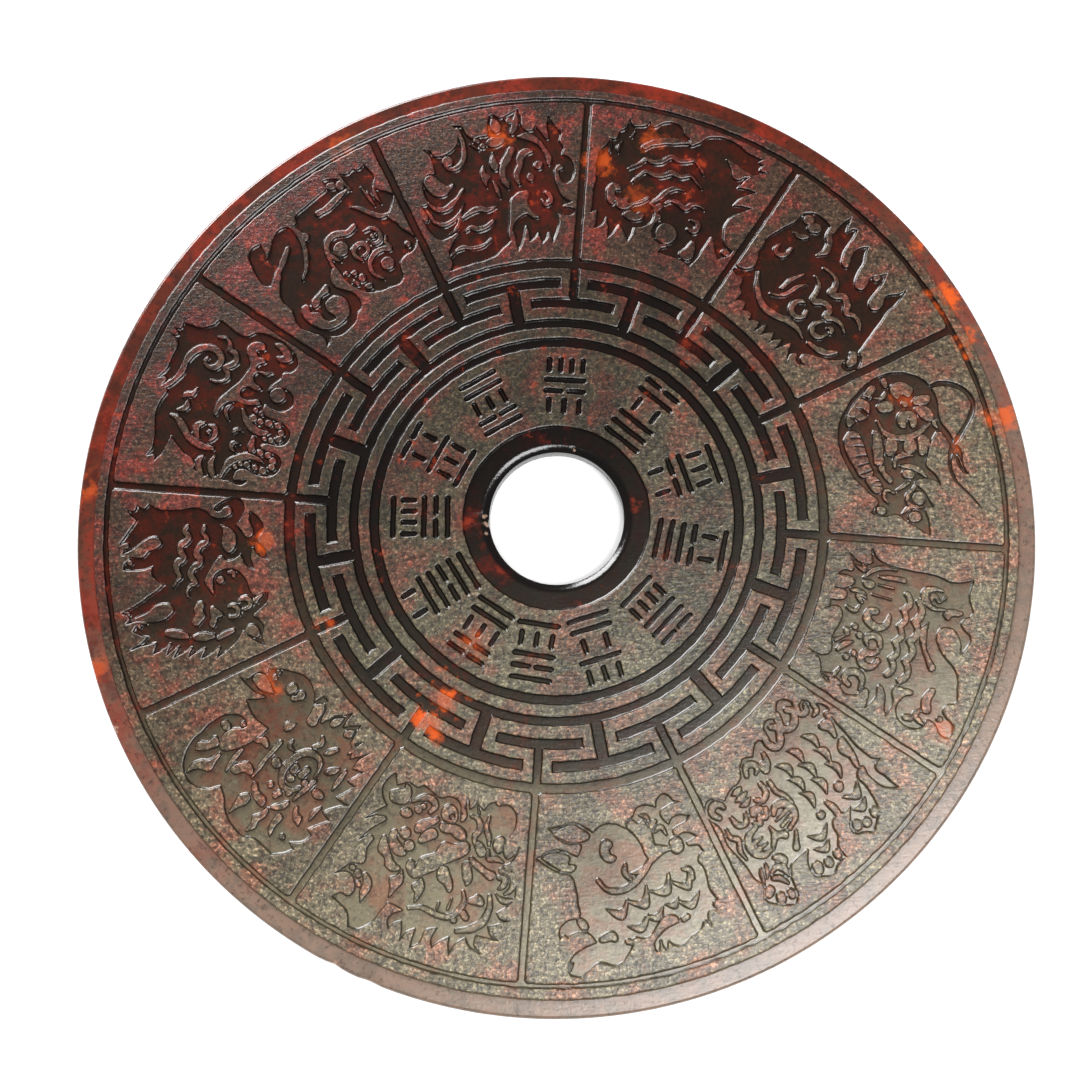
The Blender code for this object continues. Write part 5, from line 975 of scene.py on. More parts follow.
    panel.ridge(1.1, (-18.4, 7), (-16.9, 4.4), (-16.3, 1.6), tip=0.8)


def dog(panel):
    panel.hollow((-17.4, 11), (-16.4, 11.6, 1), (-15.2, 10.4), (-14.4, 8.6), (-13.1, 6.6, 1), (-12.2, 9.6),
                 (-11.4, 13), (-10.2, 15.7, 1), (-8.6, 15.2), (-5, 14.7), (-1.6, 14.8, 1), (-2.2, 13.4),
                 (-3.2, 12.6), (-1.4, 12.5), (0.6, 11.8), (1.8, 10.2), (1.5, 8), (1.1, 6.2), (1.6, 4.6),
                 (1.1, 2.8), (1.8, 2.2), (3.2, 3.2), (4.4, 2.9), (3.1, 4.2), (2.3, 6), (2.5, 7.8),
                 (3.8, 9.4), (6, 10.5, 1), (6, 12.4), (6.5, 14.6, 1), (7.2, 13.4), (8.6, 12), (9.8, 11, 1),
                 (10.5, 13.4), (11.5, 15.4, 1), (12.4, 12.6), (13.5, 10.2, 1), (14, 12.6), (15.6, 14, 1),
                 (15.8, 11.6), (16.4, 9.2, 1), (17.8, 10.5, 1), (18.2, 7.6), (19, 4.6), (19.3, 1.6),
                 (20.2, -1), (20.7, -4), (20.8, -6.8), (19.8, -8.4), (19.6, -10.4, 1), (18.2, -10.6),
                 (17.8, -13, 1), (16.8, -14), (16.4, -17.2, 1), (14.8, -15.4), (13.6, -15.8, 1),
                 (12, -16.6), (11.4, -18.2, 1), (10.4, -16.8), (8, -18.6), (5.4, -19.6), (3, -18.9),
                 (1.8, -17.4), (0.4, -16.8), (-0.4, -15), (-1.8, -15.9), (-3.8, -18.4), (-6, -19.5),
                 (-9, -19.8), (-12, -19.2), (-15, -18), (-18.9, -17.4, 1), (-18.4, -16.6), (-19.7, -16, 1),
                 (-19.1, -14.6), (-20.8, -14.3, 1), (-18, -12.8), (-15.6, -13.1), (-13.2, -14),
                 (-10.3, -14.6, 1), (-12.2, -12.4), (-13.4, -10.3), (-14.8, -10.2), (-15.8, -11.2),
                 (-17.2, -11.8, 1), (-16.2, -10.2), (-15.3, -8.2, 1), (-18, -8.6), (-20.1, -8.4, 1),
                 (-18, -7), (-16.8, -5.6), (-15.8, -3.4, 1), (-17.8, -3.8), (-20.3, -4, 1), (-18, -2),
                 (-15.7, 0.5, 1), (-15.3, 2.6), (-15.8, 5.2), (-16.8, 7.4), (-19.2, 8.4, 1), (-18.6, 10))
    panel.bead(-17.6, 9.3, 0.7, 1.5, -20)
    panel.island((-9.3, 9), (-10.1, 11), (-10.2, 13.2), (-9.3, 14.4), (-7.6, 14.2), (-6.8, 13.3),
                 (-7.8, 11.6))
    panel.ridge(1.4, (-6.9, 6.5), (-8.2, 6.6), (-9.1, 5.2), (-8.2, 3.9), (-6.8, 3.9), tip=0.6)
    panel.beads((-2, 9.4, 2.7), (1.1, 5.8, 0.5, 1.3, -60))
    panel.ridge(1.3, (-9, 0.2), (-7.4, -0.4), (-5.6, 0), (-4.4, 1.5), (-3, 0.9), (-1.4, 0.5), (0, 0.9),
                (0.8, 1.8))
    panel.ridge(1.2, (4.3, 3.1), (2.6, 1), (0.8, -2), (-0.6, -2.9), (-2.9, -2.9), tip=0.5)
    panel.island((4.8, 6.2), (5, 7.6), (6.6, 8.8), (8.6, 8.9), (9.8, 8.1), (9.2, 6.9), (8.2, 6.4),
                 (6.9, 6.9), (6, 5.9))
    panel.island((5, 1.4), (6.2, 3.5), (8.3, 5), (8.8, 5.9), (10.4, 6.8), (12, 6.6), (12.6, 5.4),
                 (13.1, 6.5), (14.3, 6.3), (15.4, 4.4), (15.7, 1.9), (14.8, 0.7), (13.2, 1.1), (12.5, 1.9),
                 (13.6, 2.4), (13.3, 4), (11.4, 4.1), (9.7, 3.4), (9.8, 4.6), (8, 4), (6.4, 2.5))
    panel.ridge(1.2, (-6.7, -4.9), (-5, -6), (-3, -7.3), (-1, -6.3), (1.8, -6.5), (3.4, -5.2), (5.6, -4.5),
                (8.2, -4.7), (9.4, -3), (10.4, -1))
    panel.ridge(1.2, (-5.9, -8.9), (-4, -10.6), (-2.8, -11.5), (-0.6, -10.6), (1.4, -10.2), (3, -10.6),
                (5, -8.6), (7.2, -7.7), (9, -7.9), (10.4, -6), (12.3, -4.2))
    panel.ridge(1.7, (-0.4, -15.8), (3, -15), (6, -14.1), (8.8, -12.6), (10.4, -11), tail=0.8)
    panel.ridge(0.8, (16.4, -7.4), (16.8, -8.8), (16.3, -10.6))
    panel.ridge(0.7, (18.4, -7), (18.6, -9))
    panel.ridge(0.7, (14, -14.2), (14.4, -12.6))


def pig(panel):
    panel.hollow((-20.2, 5.6), (-19.9, 7.6), (-18.6, 9.2), (-17, 9), (-16.7, 6.6, 1), (-15.8, 8.4),
                 (-14.4, 10), (-12, 11.6), (-9.6, 13), (-8.8, 14.2), (-9.4, 15.4), (-11.2, 15.6, 1),
                 (-10.2, 16.6), (-8.6, 16.5), (-7.6, 15.2), (-6.8, 16.2), (-7.3, 18.2, 1), (-5.8, 16.6),
                 (-4.7, 14.4, 1), (-3.9, 16.6), (-3.1, 18.9, 1), (-2.9, 17), (-2.5, 15.4, 1), (-1.5, 17),
                 (-0.9, 18.8, 1), (-0.5, 17), (0.1, 15.5, 1), (1, 17), (1.8, 18.8, 1), (2.2, 17.2),
                 (2.7, 15.8, 1), (3.2, 17.6), (3.6, 19.2, 1), (4, 18), (4.5, 16.7, 1), (5.7, 17.3),
                 (6.5, 18.7, 1), (6.8, 17.8), (7.2, 16.6, 1), (8.3, 17), (9.5, 18.1, 1), (9.9, 17),
                 (10.3, 15.9, 1), (11.5, 16.2), (12.6, 17.2, 1), (12.7, 16), (12.9, 15, 1), (14.2, 14.2),
                 (15.8, 12.2), (17.2, 12.6), (18.9, 12.5, 1), (19.5, 11.2, 1), (18, 10.6), (16.6, 9.6),
                 (16.1, 7.8), (16.8, 6), (18.2, 4.4), (18.5, 2.6), (19.4, 0.6), (19.2, -2), (18.6, -5.4),
                 (18, -8.4), (18.2, -11), (16.6, -13), (13.6, -13.9), (11, -13.5), (10.4, -12.2),
                 (9.6, -12.6), (9.8, -15), (9.8, -17.4), (9.6, -19.6, 1), (8.8, -17.6), (7.6, -15.9, 1),
                 (7, -17.6), (6.2, -18.2, 1), (5.2, -16), (4.6, -13), (3.4, -10.6), (2, -9.1), (0.8, -9.4),
                 (1, -10.8), (2.1, -12.4), (2.6, -14.4), (2, -16), (1, -17.3, 1), (0.2, -15.4),
                 (-1.2, -13.6), (-2.1, -10.8), (-3.4, -8.6), (-5, -7.5), (-6.1, -8.4), (-5.8, -10.2),
                 (-5.2, -12.6), (-6.2, -14), (-7, -16, 1), (-7.8, -14.4), (-8.5, -12.2), (-9, -9.6),
                 (-9.8, -7.2), (-11, -6.5), (-12.5, -7.8), (-12.3, -9.4), (-11.3, -11), (-11.7, -13),
                 (-12.6, -14), (-13.4, -16.6, 1), (-14, -14.4), (-14.5, -12), (-14.6, -9), (-15.4, -6),
                 (-16, -3), (-16.6, -0.6), (-17.2, 1.8), (-17.4, 3), (-18.9, 3.7))
    panel.island((-19, 7), (-18.2, 8), (-17.2, 7.4), (-16.8, 5.8), (-16.1, 4.7), (-17, 3.9), (-18.2, 4.8),
                 (-19, 5.8))
    panel.ridge(1.5, (-13.8, 7.4), (-12.4, 9.3), (-10.4, 10.5), (-7.6, 11), tip=0.4, tail=0.5)
    panel.ridge(1.7, (-5.6, 11.4), (-3, 10.7), (0, 11.1), (3, 12.4), (6, 13.1), (9, 12.4), (12, 10.4),
                (14.2, 8))
    panel.ridge(1.2, (-8.9, 6), (-8.4, 7.7), (-7, 8.6), (-5.4, 8), (-4.9, 6.4), (-5.8, 4.6), tip=0.5)
    panel.ridge(1, (-9.2, 5.2), (-8.6, 4.3), (-7.8, 4.9), tip=0.6)
    panel.ridge(1.3, (-1.2, 5.8), (-1.6, 7.4), (-0.4, 8.8), (1.4, 8.5), (2.4, 6.8), (1.9, 5.2), (0.7, 4.6),
                tip=0.6)
    panel.ridge(0.9, (8, 9.4), (6.2, 8), (5.3, 6), (5.1, 3.6), (3.9, 0.8), tip=0.6)
    panel.ridge(0.9, (7.3, 6.4), (7.4, 3.6), (6.4, -0.1), tip=0.6)
    panel.ridge(1.5, (-11.4, 2.7), (-9.4, 1.8), (-7, 2.2), (-5.5, 3.3), (-4.8, 1.5), (-3.4, 0.9),
                (-1.8, 1.4), (-0.2, 2.8), (0.8, 0.5), (2, -1.3), (4.1, -2.1))
    panel.ridge(1.6, (-13.4, -0.6), (-11.6, -2), (-9.6, -2.1), (-8, -1.2), (-6.6, -2.8), (-4.4, -3.6),
                (-2.8, -2.2), (-1.8, -2), (-1.4, -3.5), (0, -5.2), (2, -5.5), (4.2, -5.1))
    panel.ridge(1.1, (13.4, -2.4), (13.1, -0.4), (14.4, 1.2), (16, 0.7), (16.2, -1), tip=0.6)
    panel.ridge(1.3, (13, -7.6), (14.2, -6.2), (16.1, -5.9))
    panel.beads((13.6, -10.4, 1.3, 1.35, 40), (16.1, -10.8, 1.2, 1.2, 40))
    panel.ridge(1.5, (7.8, -6.2), (7.2, -8.4), (8, -10.4), (9.8, -11.9), (10.5, -13.8), tail=0.9)
    panel.bead(-6.3, -13.2, 0.7, 1.4, 80)


ANIMALS = (rat, pig, dog, rooster, monkey, goat, horse, snake, dragon, rabbit, tiger, ox)


def cut_key_fret(relief):
    """The gaps between the bars of the key fret: a T from outside and a T from inside in each turn."""
    outer, upper, upper_end, lower, lower_end, inner = (OUTER_RADIUS * share for share in KEY_RADII)
    for k in range(PANEL_COUNT):
        divider = FIRST_PANEL_ANGLE + (k + 0.5) * PITCH
        middle = divider + PITCH / 2
        reach = PITCH * KEY_LOWER_REACH
        relief.area(LOW, ring_piece(lower_end, lower, divider - reach, divider + reach))
        relief.area(LOW, radial_bar((lower + lower_end) / 2, outer + 1.5, divider, KEY_OUTER_STEM))
        reach = PITCH * KEY_UPPER_REACH
        relief.area(LOW, ring_piece(upper_end, upper, middle - reach, middle + reach))
        relief.area(LOW, radial_bar(inner - 1.5, (upper + upper_end) / 2, middle, KEY_INNER_STEM))


# The middles of the twelve groups of marks, in degrees, and the rows of each group from outside inwards:
# a number above zero is that many bars side by side, and one below zero that many uprights.
MARK_ANGLES = (18, 49.6, 85.5, 118.8, 150.7, 179, 210.8, 235.9, 260, 286, 315.5, 347)
MARK_GROUPS = ((1, -3, 1, 2, -2), (2, 1, -2, 1, 1, 1), (-4, 1, 2, -3), (1, 1, -3, 2, 1), (2, -2, 1, -3, 1),
               (1, -4, 1, 2, 1), (-2, 1, 1, 2, 1, 1), (2, 2, -3, 1, 1), (1, 2, 1, -3, 1), (-3, 1, -2, 1, 1),
               (2, 1, 1, -4, 1), (1, -2, 2, 1, 1, 1))


def cut_marks(relief):
    """Twelve groups of plain sunk strokes, each in rows from outside inwards."""
    for angle, rows in zip(MARK_ANGLES, MARK_GROUPS):
        spot = Panel(relief, math.radians(angle), OUTER_RADIUS * MARKS_MIDDLE, -1.0)
        heights = [MARK_BAR_ROW if count > 0 else MARK_UPRIGHT_ROW for count in rows]
        top = sum(heights) / 2
        for count, height in zip(rows, heights):
            width = MARK_WIDTH / abs(count)
            for k in range(abs(count)):
                x, y = (k + 0.5) * width - MARK_WIDTH / 2, top - height / 2
                half = (width if count > 0 else height) / 2 - MARK_GAP
                ends = ((x - half, y), (x + half, y)) if count > 0 else ((x, y + half), (x, y - half))
                relief.line_through(LOW, spot.place(ends), [MARK_STROKE / 2] * 2)
            top -= height


def carve():
    relief = Relief()
    radii = [OUTER_RADIUS * share for share in (FILLET_OUTER, FILLET_INNER, KEY_RADII[0], KEY_RADII[-1],
                                                RING_OUTER, RING_INNER, MARKS_OUTER, MARKS_INNER)]
    relief.field[:] = -REACH
    relief.rings((radii[0], HIGH), (radii[1], LOW))
    for k, animal in enumerate(ANIMALS):
        middle = FIRST_PANEL_ANGLE + k * PITCH
        relief.area(HIGH, panel_outline(OUTER_RADIUS * PANEL_INNER, OUTER_RADIUS * PANEL_OUTER, middle))
        animal(Panel(relief, middle))
    relief.rings((radii[2], HIGH))
    cut_key_fret(relief)
    relief.rings((radii[3], LOW), (radii[4], HIGH), (radii[5], LOW), (radii[6], HIGH), (radii[7], LOW))
    cut_marks(relief)
    relief.loosen()
    return relief


def circle(radius, count):
    return [polar(radius, math.tau * k / count) for k in range(count)]


def carved_face(relief):
    """The face between the rim and the hole: flat above and below, with sloping walls between."""
    spots, depths, edges = [], [], []
    loops = []
    for distance, depth in WALL_STEPS:
        loops += [(thin(loop, CURVE_TOLERANCE), depth) for loop in relief.contours(-distance)]
    loops.append((circle(OUTER_RADIUS - RIM_ROUNDING, RIM_SEGMENTS), RELIEF_DEPTH))
    loops.append((circle(LIP_RADIUS, RIM_SEGMENTS), RELIEF_DEPTH))
    for loop, depth in loops:
        first, count = len(spots), len(loop)
        if count > 3:
            spots += [Vector((float(x), float(y))) for x, y in loop]
            depths += [depth] * count
            edges += [(first + k, first + (k + 1) % count) for k in range(count)]
    found = delaunay_2d_cdt(spots, edges, [], 0, 1e-6)
    verts = []
    for place, sources in zip(found[0], found[3]):
        depth = depths[sources[0]] if sources else relief.depth(place)
        verts.append((place.x * MM, place.y * MM, (THICKNESS - depth) * MM))
    faces = []
    for triangle in found[2]:
        middle = sum((found[0][k] for k in triangle), Vector((0, 0))) / 3
        if middle.length > LIP_RADIUS * math.cos(math.pi / RIM_SEGMENTS):
            faces.append(triangle)
    mesh = bpy.data.meshes.new("carved_face")
    mesh.from_pydata(verts, [], faces)
    face = bpy.data.objects.new("carved_face", mesh)
    bpy.context.scene.collection.objects.link(face)
    return face


def turning_tree():
    """Turns a profile round the disc's axis and joins it to the carved face."""
    tree = bpy.data.node_groups.new("turned_stone", "GeometryNodeTree")
    tree.is_modifier = True
    face = tree.interface
    sockets = {}
    for name, kind in (("Profile", "Geometry"), ("Carved Face", "Object"), ("Points", "Int"),
                       ("Segments", "Int"), ("Join Distance", "Float"), ("Unevenness", "Float"),
                       ("Seed", "Float"), ("Stone", "Material")):
        sockets[name] = face.new_socket(name, in_out="INPUT", socket_type="NodeSocket" + kind)
    face.new_socket("Disc", in_out="OUTPUT", socket_type="NodeSocketGeometry")
    given = tree.nodes.new("NodeGroupInput")

    def add(kind, settings=None, **values):
        node = tree.nodes.new(kind)
        for name, value in (settings or {}).items():
            setattr(node, name, value)
        for name, value in values.items():
            name = int(name[1:]) if name[1:].isdigit() else name.replace("_", " ")
            socket = node.inputs[name]
            if isinstance(value, bpy.types.NodeSocket):
                tree.links.new(value, socket)
            else:
                socket.default_value = value
        return node

    def maths(operation, a, b=0.0):
        return add("ShaderNodeMath", {"operation": operation}, s0=a, s1=b).outputs[0]

    columns = maths("ADD", given.outputs["Segments"], 1)
    grid = add("GeometryNodeMeshGrid", s0=1.0, s1=1.0, s2=columns, s3=given.outputs["Points"]).outputs[0]
    number = add("GeometryNodeInputIndex").outputs[0]
    column = maths("FLOOR", maths("DIVIDE", maths("ADD", number, 0.5), given.outputs["Points"]))
    row = maths("SUBTRACT", number, maths("MULTIPLY", column, given.outputs["Points"]))
    angle = maths("DIVIDE", maths("MULTIPLY", column, math.tau), given.outputs["Segments"])
    position = add("GeometryNodeInputPosition").outputs[0]
    profile = add("GeometryNodeSampleIndex", {"data_type": "FLOAT_VECTOR"},
                  Geometry=given.outputs["Profile"], Value=position, Index=row).outputs[0]
    parts = add("ShaderNodeSeparateXYZ", s0=profile)
    radius = parts.outputs[0]
    ring = add("ShaderNodeCombineXYZ", s0=maths("MULTIPLY", radius, maths("COSINE", angle)),
               s1=maths("MULTIPLY", radius, maths("SINE", angle)), s2=parts.outputs[2]).outputs[0]
    turned = add("GeometryNodeSetPosition", Geometry=grid, Position=ring).outputs[0]
    waves = add("ShaderNodeTexNoise", {"noise_dimensions": "4D"},
                W=given.outputs["Seed"], Scale=90.0, Detail=2.0)
    inner_rows = maths("MULTIPLY", maths("GREATER_THAN", row, 0.5),
                       maths("LESS_THAN", row, maths("SUBTRACT", given.outputs["Points"], 1.5)))
    amount = maths("MULTIPLY", maths("MULTIPLY", waves.outputs[0], given.outputs["Unevenness"]), inner_rows)
    normal = add("GeometryNodeInputNormal").outputs[0]
    inwards = add("ShaderNodeVectorMath", {"operation": "SCALE"}, s0=normal, Scale=amount).outputs[0]
    worn = add("GeometryNodeSetPosition", Geometry=turned, Offset=inwards).outputs[0]
    outwards = add("GeometryNodeFlipFaces", Mesh=worn).outputs[0]
    top = add("GeometryNodeObjectInfo", Object=given.outputs["Carved Face"]).outputs["Geometry"]
    both = tree.nodes.new("GeometryNodeJoinGeometry")
    tree.links.new(top, both.inputs[0])
    tree.links.new(outwards, both.inputs[0])
    closed = add("GeometryNodeMergeByDistance", Geometry=both.outputs[0],
                 Distance=given.outputs["Join Distance"]).outputs[0]
    real = add("GeometryNodeRealizeInstances", Geometry=closed).outputs[0]
    dressed = add("GeometryNodeSetMaterial", Geometry=real, Material=given.outputs["Stone"]).outputs[0]
    tree.links.new(dressed, tree.nodes.new("NodeGroupOutput").inputs[0])
    return tree, {name: socket.identifier for name, socket in sockets.items()}


def disc_profile():
    """From the face's outer edge down the rim, over the plain underside and up the hole to its lip."""
    low = THICKNESS - RELIEF_DEPTH
    line = OUTER_RADIUS - UNDER_LINE_INSET
    rounding = RIM_ROUNDING
    points = [(OUTER_RADIUS - rounding, low), (OUTER_RADIUS - 0.6 * rounding, low - 0.1 * rounding),
              (OUTER_RADIUS - 0.15 * rounding, low - 0.5 * rounding), (OUTER_RADIUS, low - rounding),
              (OUTER_RADIUS, THICKNESS / 2), (OUTER_RADIUS, rounding),
              (OUTER_RADIUS - 0.25 * rounding, 0.3 * rounding), (OUTER_RADIUS - rounding, 0.0),
              (line + UNDER_LINE_WIDTH / 2, 0.0), (line, UNDER_LINE_DEPTH),
              (line - UNDER_LINE_WIDTH / 2, 0.0)]
    points += [(OUTER_RADIUS * share, 0.0) for share in (0.8, 0.65, 0.5, 0.35, 0.22)]
    points += [(BORE_RADIUS + rounding, 0.0), (BORE_RADIUS + 0.25 * rounding, 0.3 * rounding),
               (BORE_RADIUS, rounding), (BORE_RADIUS, THICKNESS / 2), (BORE_RADIUS, low - LIP_DROP),
               (BORE_RADIUS + 0.3 * LIP_WIDTH, low - 0.5 * LIP_DROP),
               (BORE_RADIUS + 0.65 * LIP_WIDTH, low - 0.15 * LIP_DROP), (LIP_RADIUS, low)]
    return points


def chip(mesh):
    """Small chips: the stone round each spot goes in towards the body of the disc."""
    for angle, radius, height, reach, depth in CHIPS:
        angle = math.radians(angle)
        spot = Vector((*polar(radius, angle), height)) * MM
        inwards = Vector((*polar((OUTER_RADIUS + BORE_RADIUS) / 2, angle), THICKNESS / 2)) * MM - spot
        inwards = inwards.normalized() * depth * MM
        for vertex in mesh.vertices:
            share = 1.0 - (vertex.co - spot).length / (reach * MM)
            if share > 0.0:
                vertex.co += inwards * min(1.0, 1.6 * share)


def shade(mesh):
    """Each level and each slope between two levels is shaded on its own, smooth along its length."""
    mesh.shade_smooth()
    mesh.set_sharp_from_angle(angle=SHARP_ANGLE)
    depths = [round(THICKNESS - vertex.co.z / MM, 2) for vertex in mesh.vertices]
    away = [vertex.co.xy.length / MM for vertex in mesh.vertices]
    lip_edge, rim_edge = LIP_RADIUS - JOIN_DISTANCE, OUTER_RADIUS - RIM_ROUNDING + JOIN_DISTANCE
    slopes = {}
    names = {}
    for face in mesh.polygons:
        levels = [depths[k] for k in face.vertices]
        if max(levels) <= RELIEF_DEPTH and all(lip_edge < away[k] < rim_edge for k in face.vertices):
            for k, loop in zip(face.vertices, face.loop_indices):
                names[loop] = (k, min(levels), max(levels))
                slopes.setdefault(names[loop], Vector())
                slopes[names[loop]] += face.normal * face.area
    corners = [corner.vector.copy() for corner in mesh.corner_normals]
    for loop, name in names.items():
        corners[loop] = slopes[name].normalized()
    mesh.normals_split_custom_set(corners)


def carved_disc(material):
    points = disc_profile()
    mesh = bpy.data.meshes.new("profile")
    mesh.from_pydata([(radius * MM, 0.0, height * MM) for radius, height in points],
                     [(k, k + 1) for k in range(len(points) - 1)], [])
    profile = bpy.data.objects.new("profile", mesh)
    bpy.context.scene.collection.objects.link(profile)
    face = carved_face(carve())
    tree, names = turning_tree()
    turning = profile.modifiers.new("turned_stone", "NODES")
    turning.node_group = tree
    turning[names["Carved Face"]] = face
    turning[names["Points"]] = len(points)
    turning[names["Segments"]] = RIM_SEGMENTS
    turning[names["Join Distance"]] = JOIN_DISTANCE * MM
    turning[names["Unevenness"]] = UNEVENNESS * MM
    turning[names["Seed"]] = UNEVENNESS_SEED
    turning[names["Stone"]] = material
    evaluated = profile.evaluated_get(bpy.context.evaluated_depsgraph_get())
    finished = bpy.data.meshes.new_from_object(evaluated)
    profile.modifiers.remove(turning)
    for helper in (profile, face):
        bpy.data.objects.remove(helper, do_unlink=True)
    finished.name = "carved_disc"
    chip(finished)
    shade(finished)
    disc = bpy.data.objects.new("carved_disc", finished)
    bpy.context.scene.collection.objects.link(disc)
    return disc


class Value:
    """A shader socket that the usual operators work on."""

    def __init__(self, tree, socket):
        self.tree = tree
        self.socket = socket

    def maths(self, operation, *others):
        return add_node(self.tree, "Math", {"operation": operation}, dict(enumerate((self,) + others)))

    def __add__(self, other):
        return self.maths("ADD", other)

    def __sub__(self, other):
        return self.maths("SUBTRACT", other)

    def __mul__(self, other):
        return self.maths("MULTIPLY", other)

    def __pow__(self, other):
        return self.maths("POWER", other)

    def scaled(self, amount):
        """A colour made lighter or darker."""
        return add_node(self.tree, "VectorMath", {"operation": "SCALE"}, {0: self, "Scale": amount})

    def __rsub__(self, other):
        return add_node(self.tree, "Math", {"operation": "SUBTRACT"}, {0: other, 1: self})

    __radd__ = __add__
    __rmul__ = __mul__

    def step(self, low, high):
        """From 0 below one value to 1 above another, with soft ends."""
        return add_node(self.tree, "MapRange", {"interpolation_type": "SMOOTHSTEP"},
                        {"Value": self, "From Min": low, "From Max": high})


def add_node(tree, kind, settings=None, values=None, output=0):
    """One node: its settings are made first, and then its sockets are filled or linked."""
    node = tree.nodes.new("ShaderNode" + kind)
    for name, value in (settings or {}).items():
        setattr(node, name, value)
    for name, value in (values or {}).items():
        if isinstance(value, Value):
            tree.links.new(value.socket, node.inputs[name])
        else:
            node.inputs[name].default_value = value
    return Value(tree, node.outputs[output])


# Chips at the rim and at the lip of the hole: angle in degrees, radius, height, reach and depth.
CHIPS = ((243.0, 115.0, 5.4, 2.6, 0.4), (247.5, 115.0, 5.6, 2.2, 0.3), (205.0, 115.0, 1.0, 2.6, 0.3),
         (178.0, 17.3, 5.6, 1.3, 0.4), (184.0, 17.0, 5.2, 1.6, 0.45), (192.0, 17.4, 5.6, 1.1, 0.3),
         (75.0, 17.3, 5.6, 1.0, 0.25))

# Where the stone shows its own colours: place in millimetres, reach, and how strongly.
ORANGE_SPOTS = ((97, 53, 5, 1.0), (102, 42, 4, 0.9), (108, 22, 4.5, 0.8), (90, 68, 3.5, 0.7),
                (-27, -43, 6, 1.0), (-31, -49, 5, 1.0), (-20, -30, 4, 0.6), (99, 17, 3.5, 0.5),
                (85, 27, 4, 0.5), (26, 97, 4, 0.5), (12, 91, 4.5, 0.6), (-13, 98, 4, 0.7),
                (-68, -38, 4, 0.6), (89, -53, 3.5, 0.5), (22, 80, 5, 0.3), (-70, -4, 3, 0.8),
                (-56, -24, 3, 0.8), (-109, -34, 4, 0.4), (-112, 10, 4, 0.5), (-52, 96, 5, 0.4))
RED_STAINS = ((-22, -33, 13, 1.0), (-19, -2, 6, 1.0), (-14, -13, 8, 0.9), (1, 21, 6, 0.8),
              (-55, 76, 24, 1.0), (-10, 86, 24, 0.9), (30, 86, 24, 1.0), (68, 62, 18, 0.5),
              (-104, 20, 16, 0.9), (-100, -24, 18, 0.7), (36, 47, 10, 0.9), (-32, 44, 10, 0.7),
              (-66, -2, 8, 1.0), (84, 26, 11, 0.6), (-70, -50, 18, 0.4), (20, 55, 8, 0.7))
PALE_CHIPS = [(*polar(radius, math.radians(angle)), 0.5 * reach, 0.7)
              for angle, radius, _, reach, _ in CHIPS]


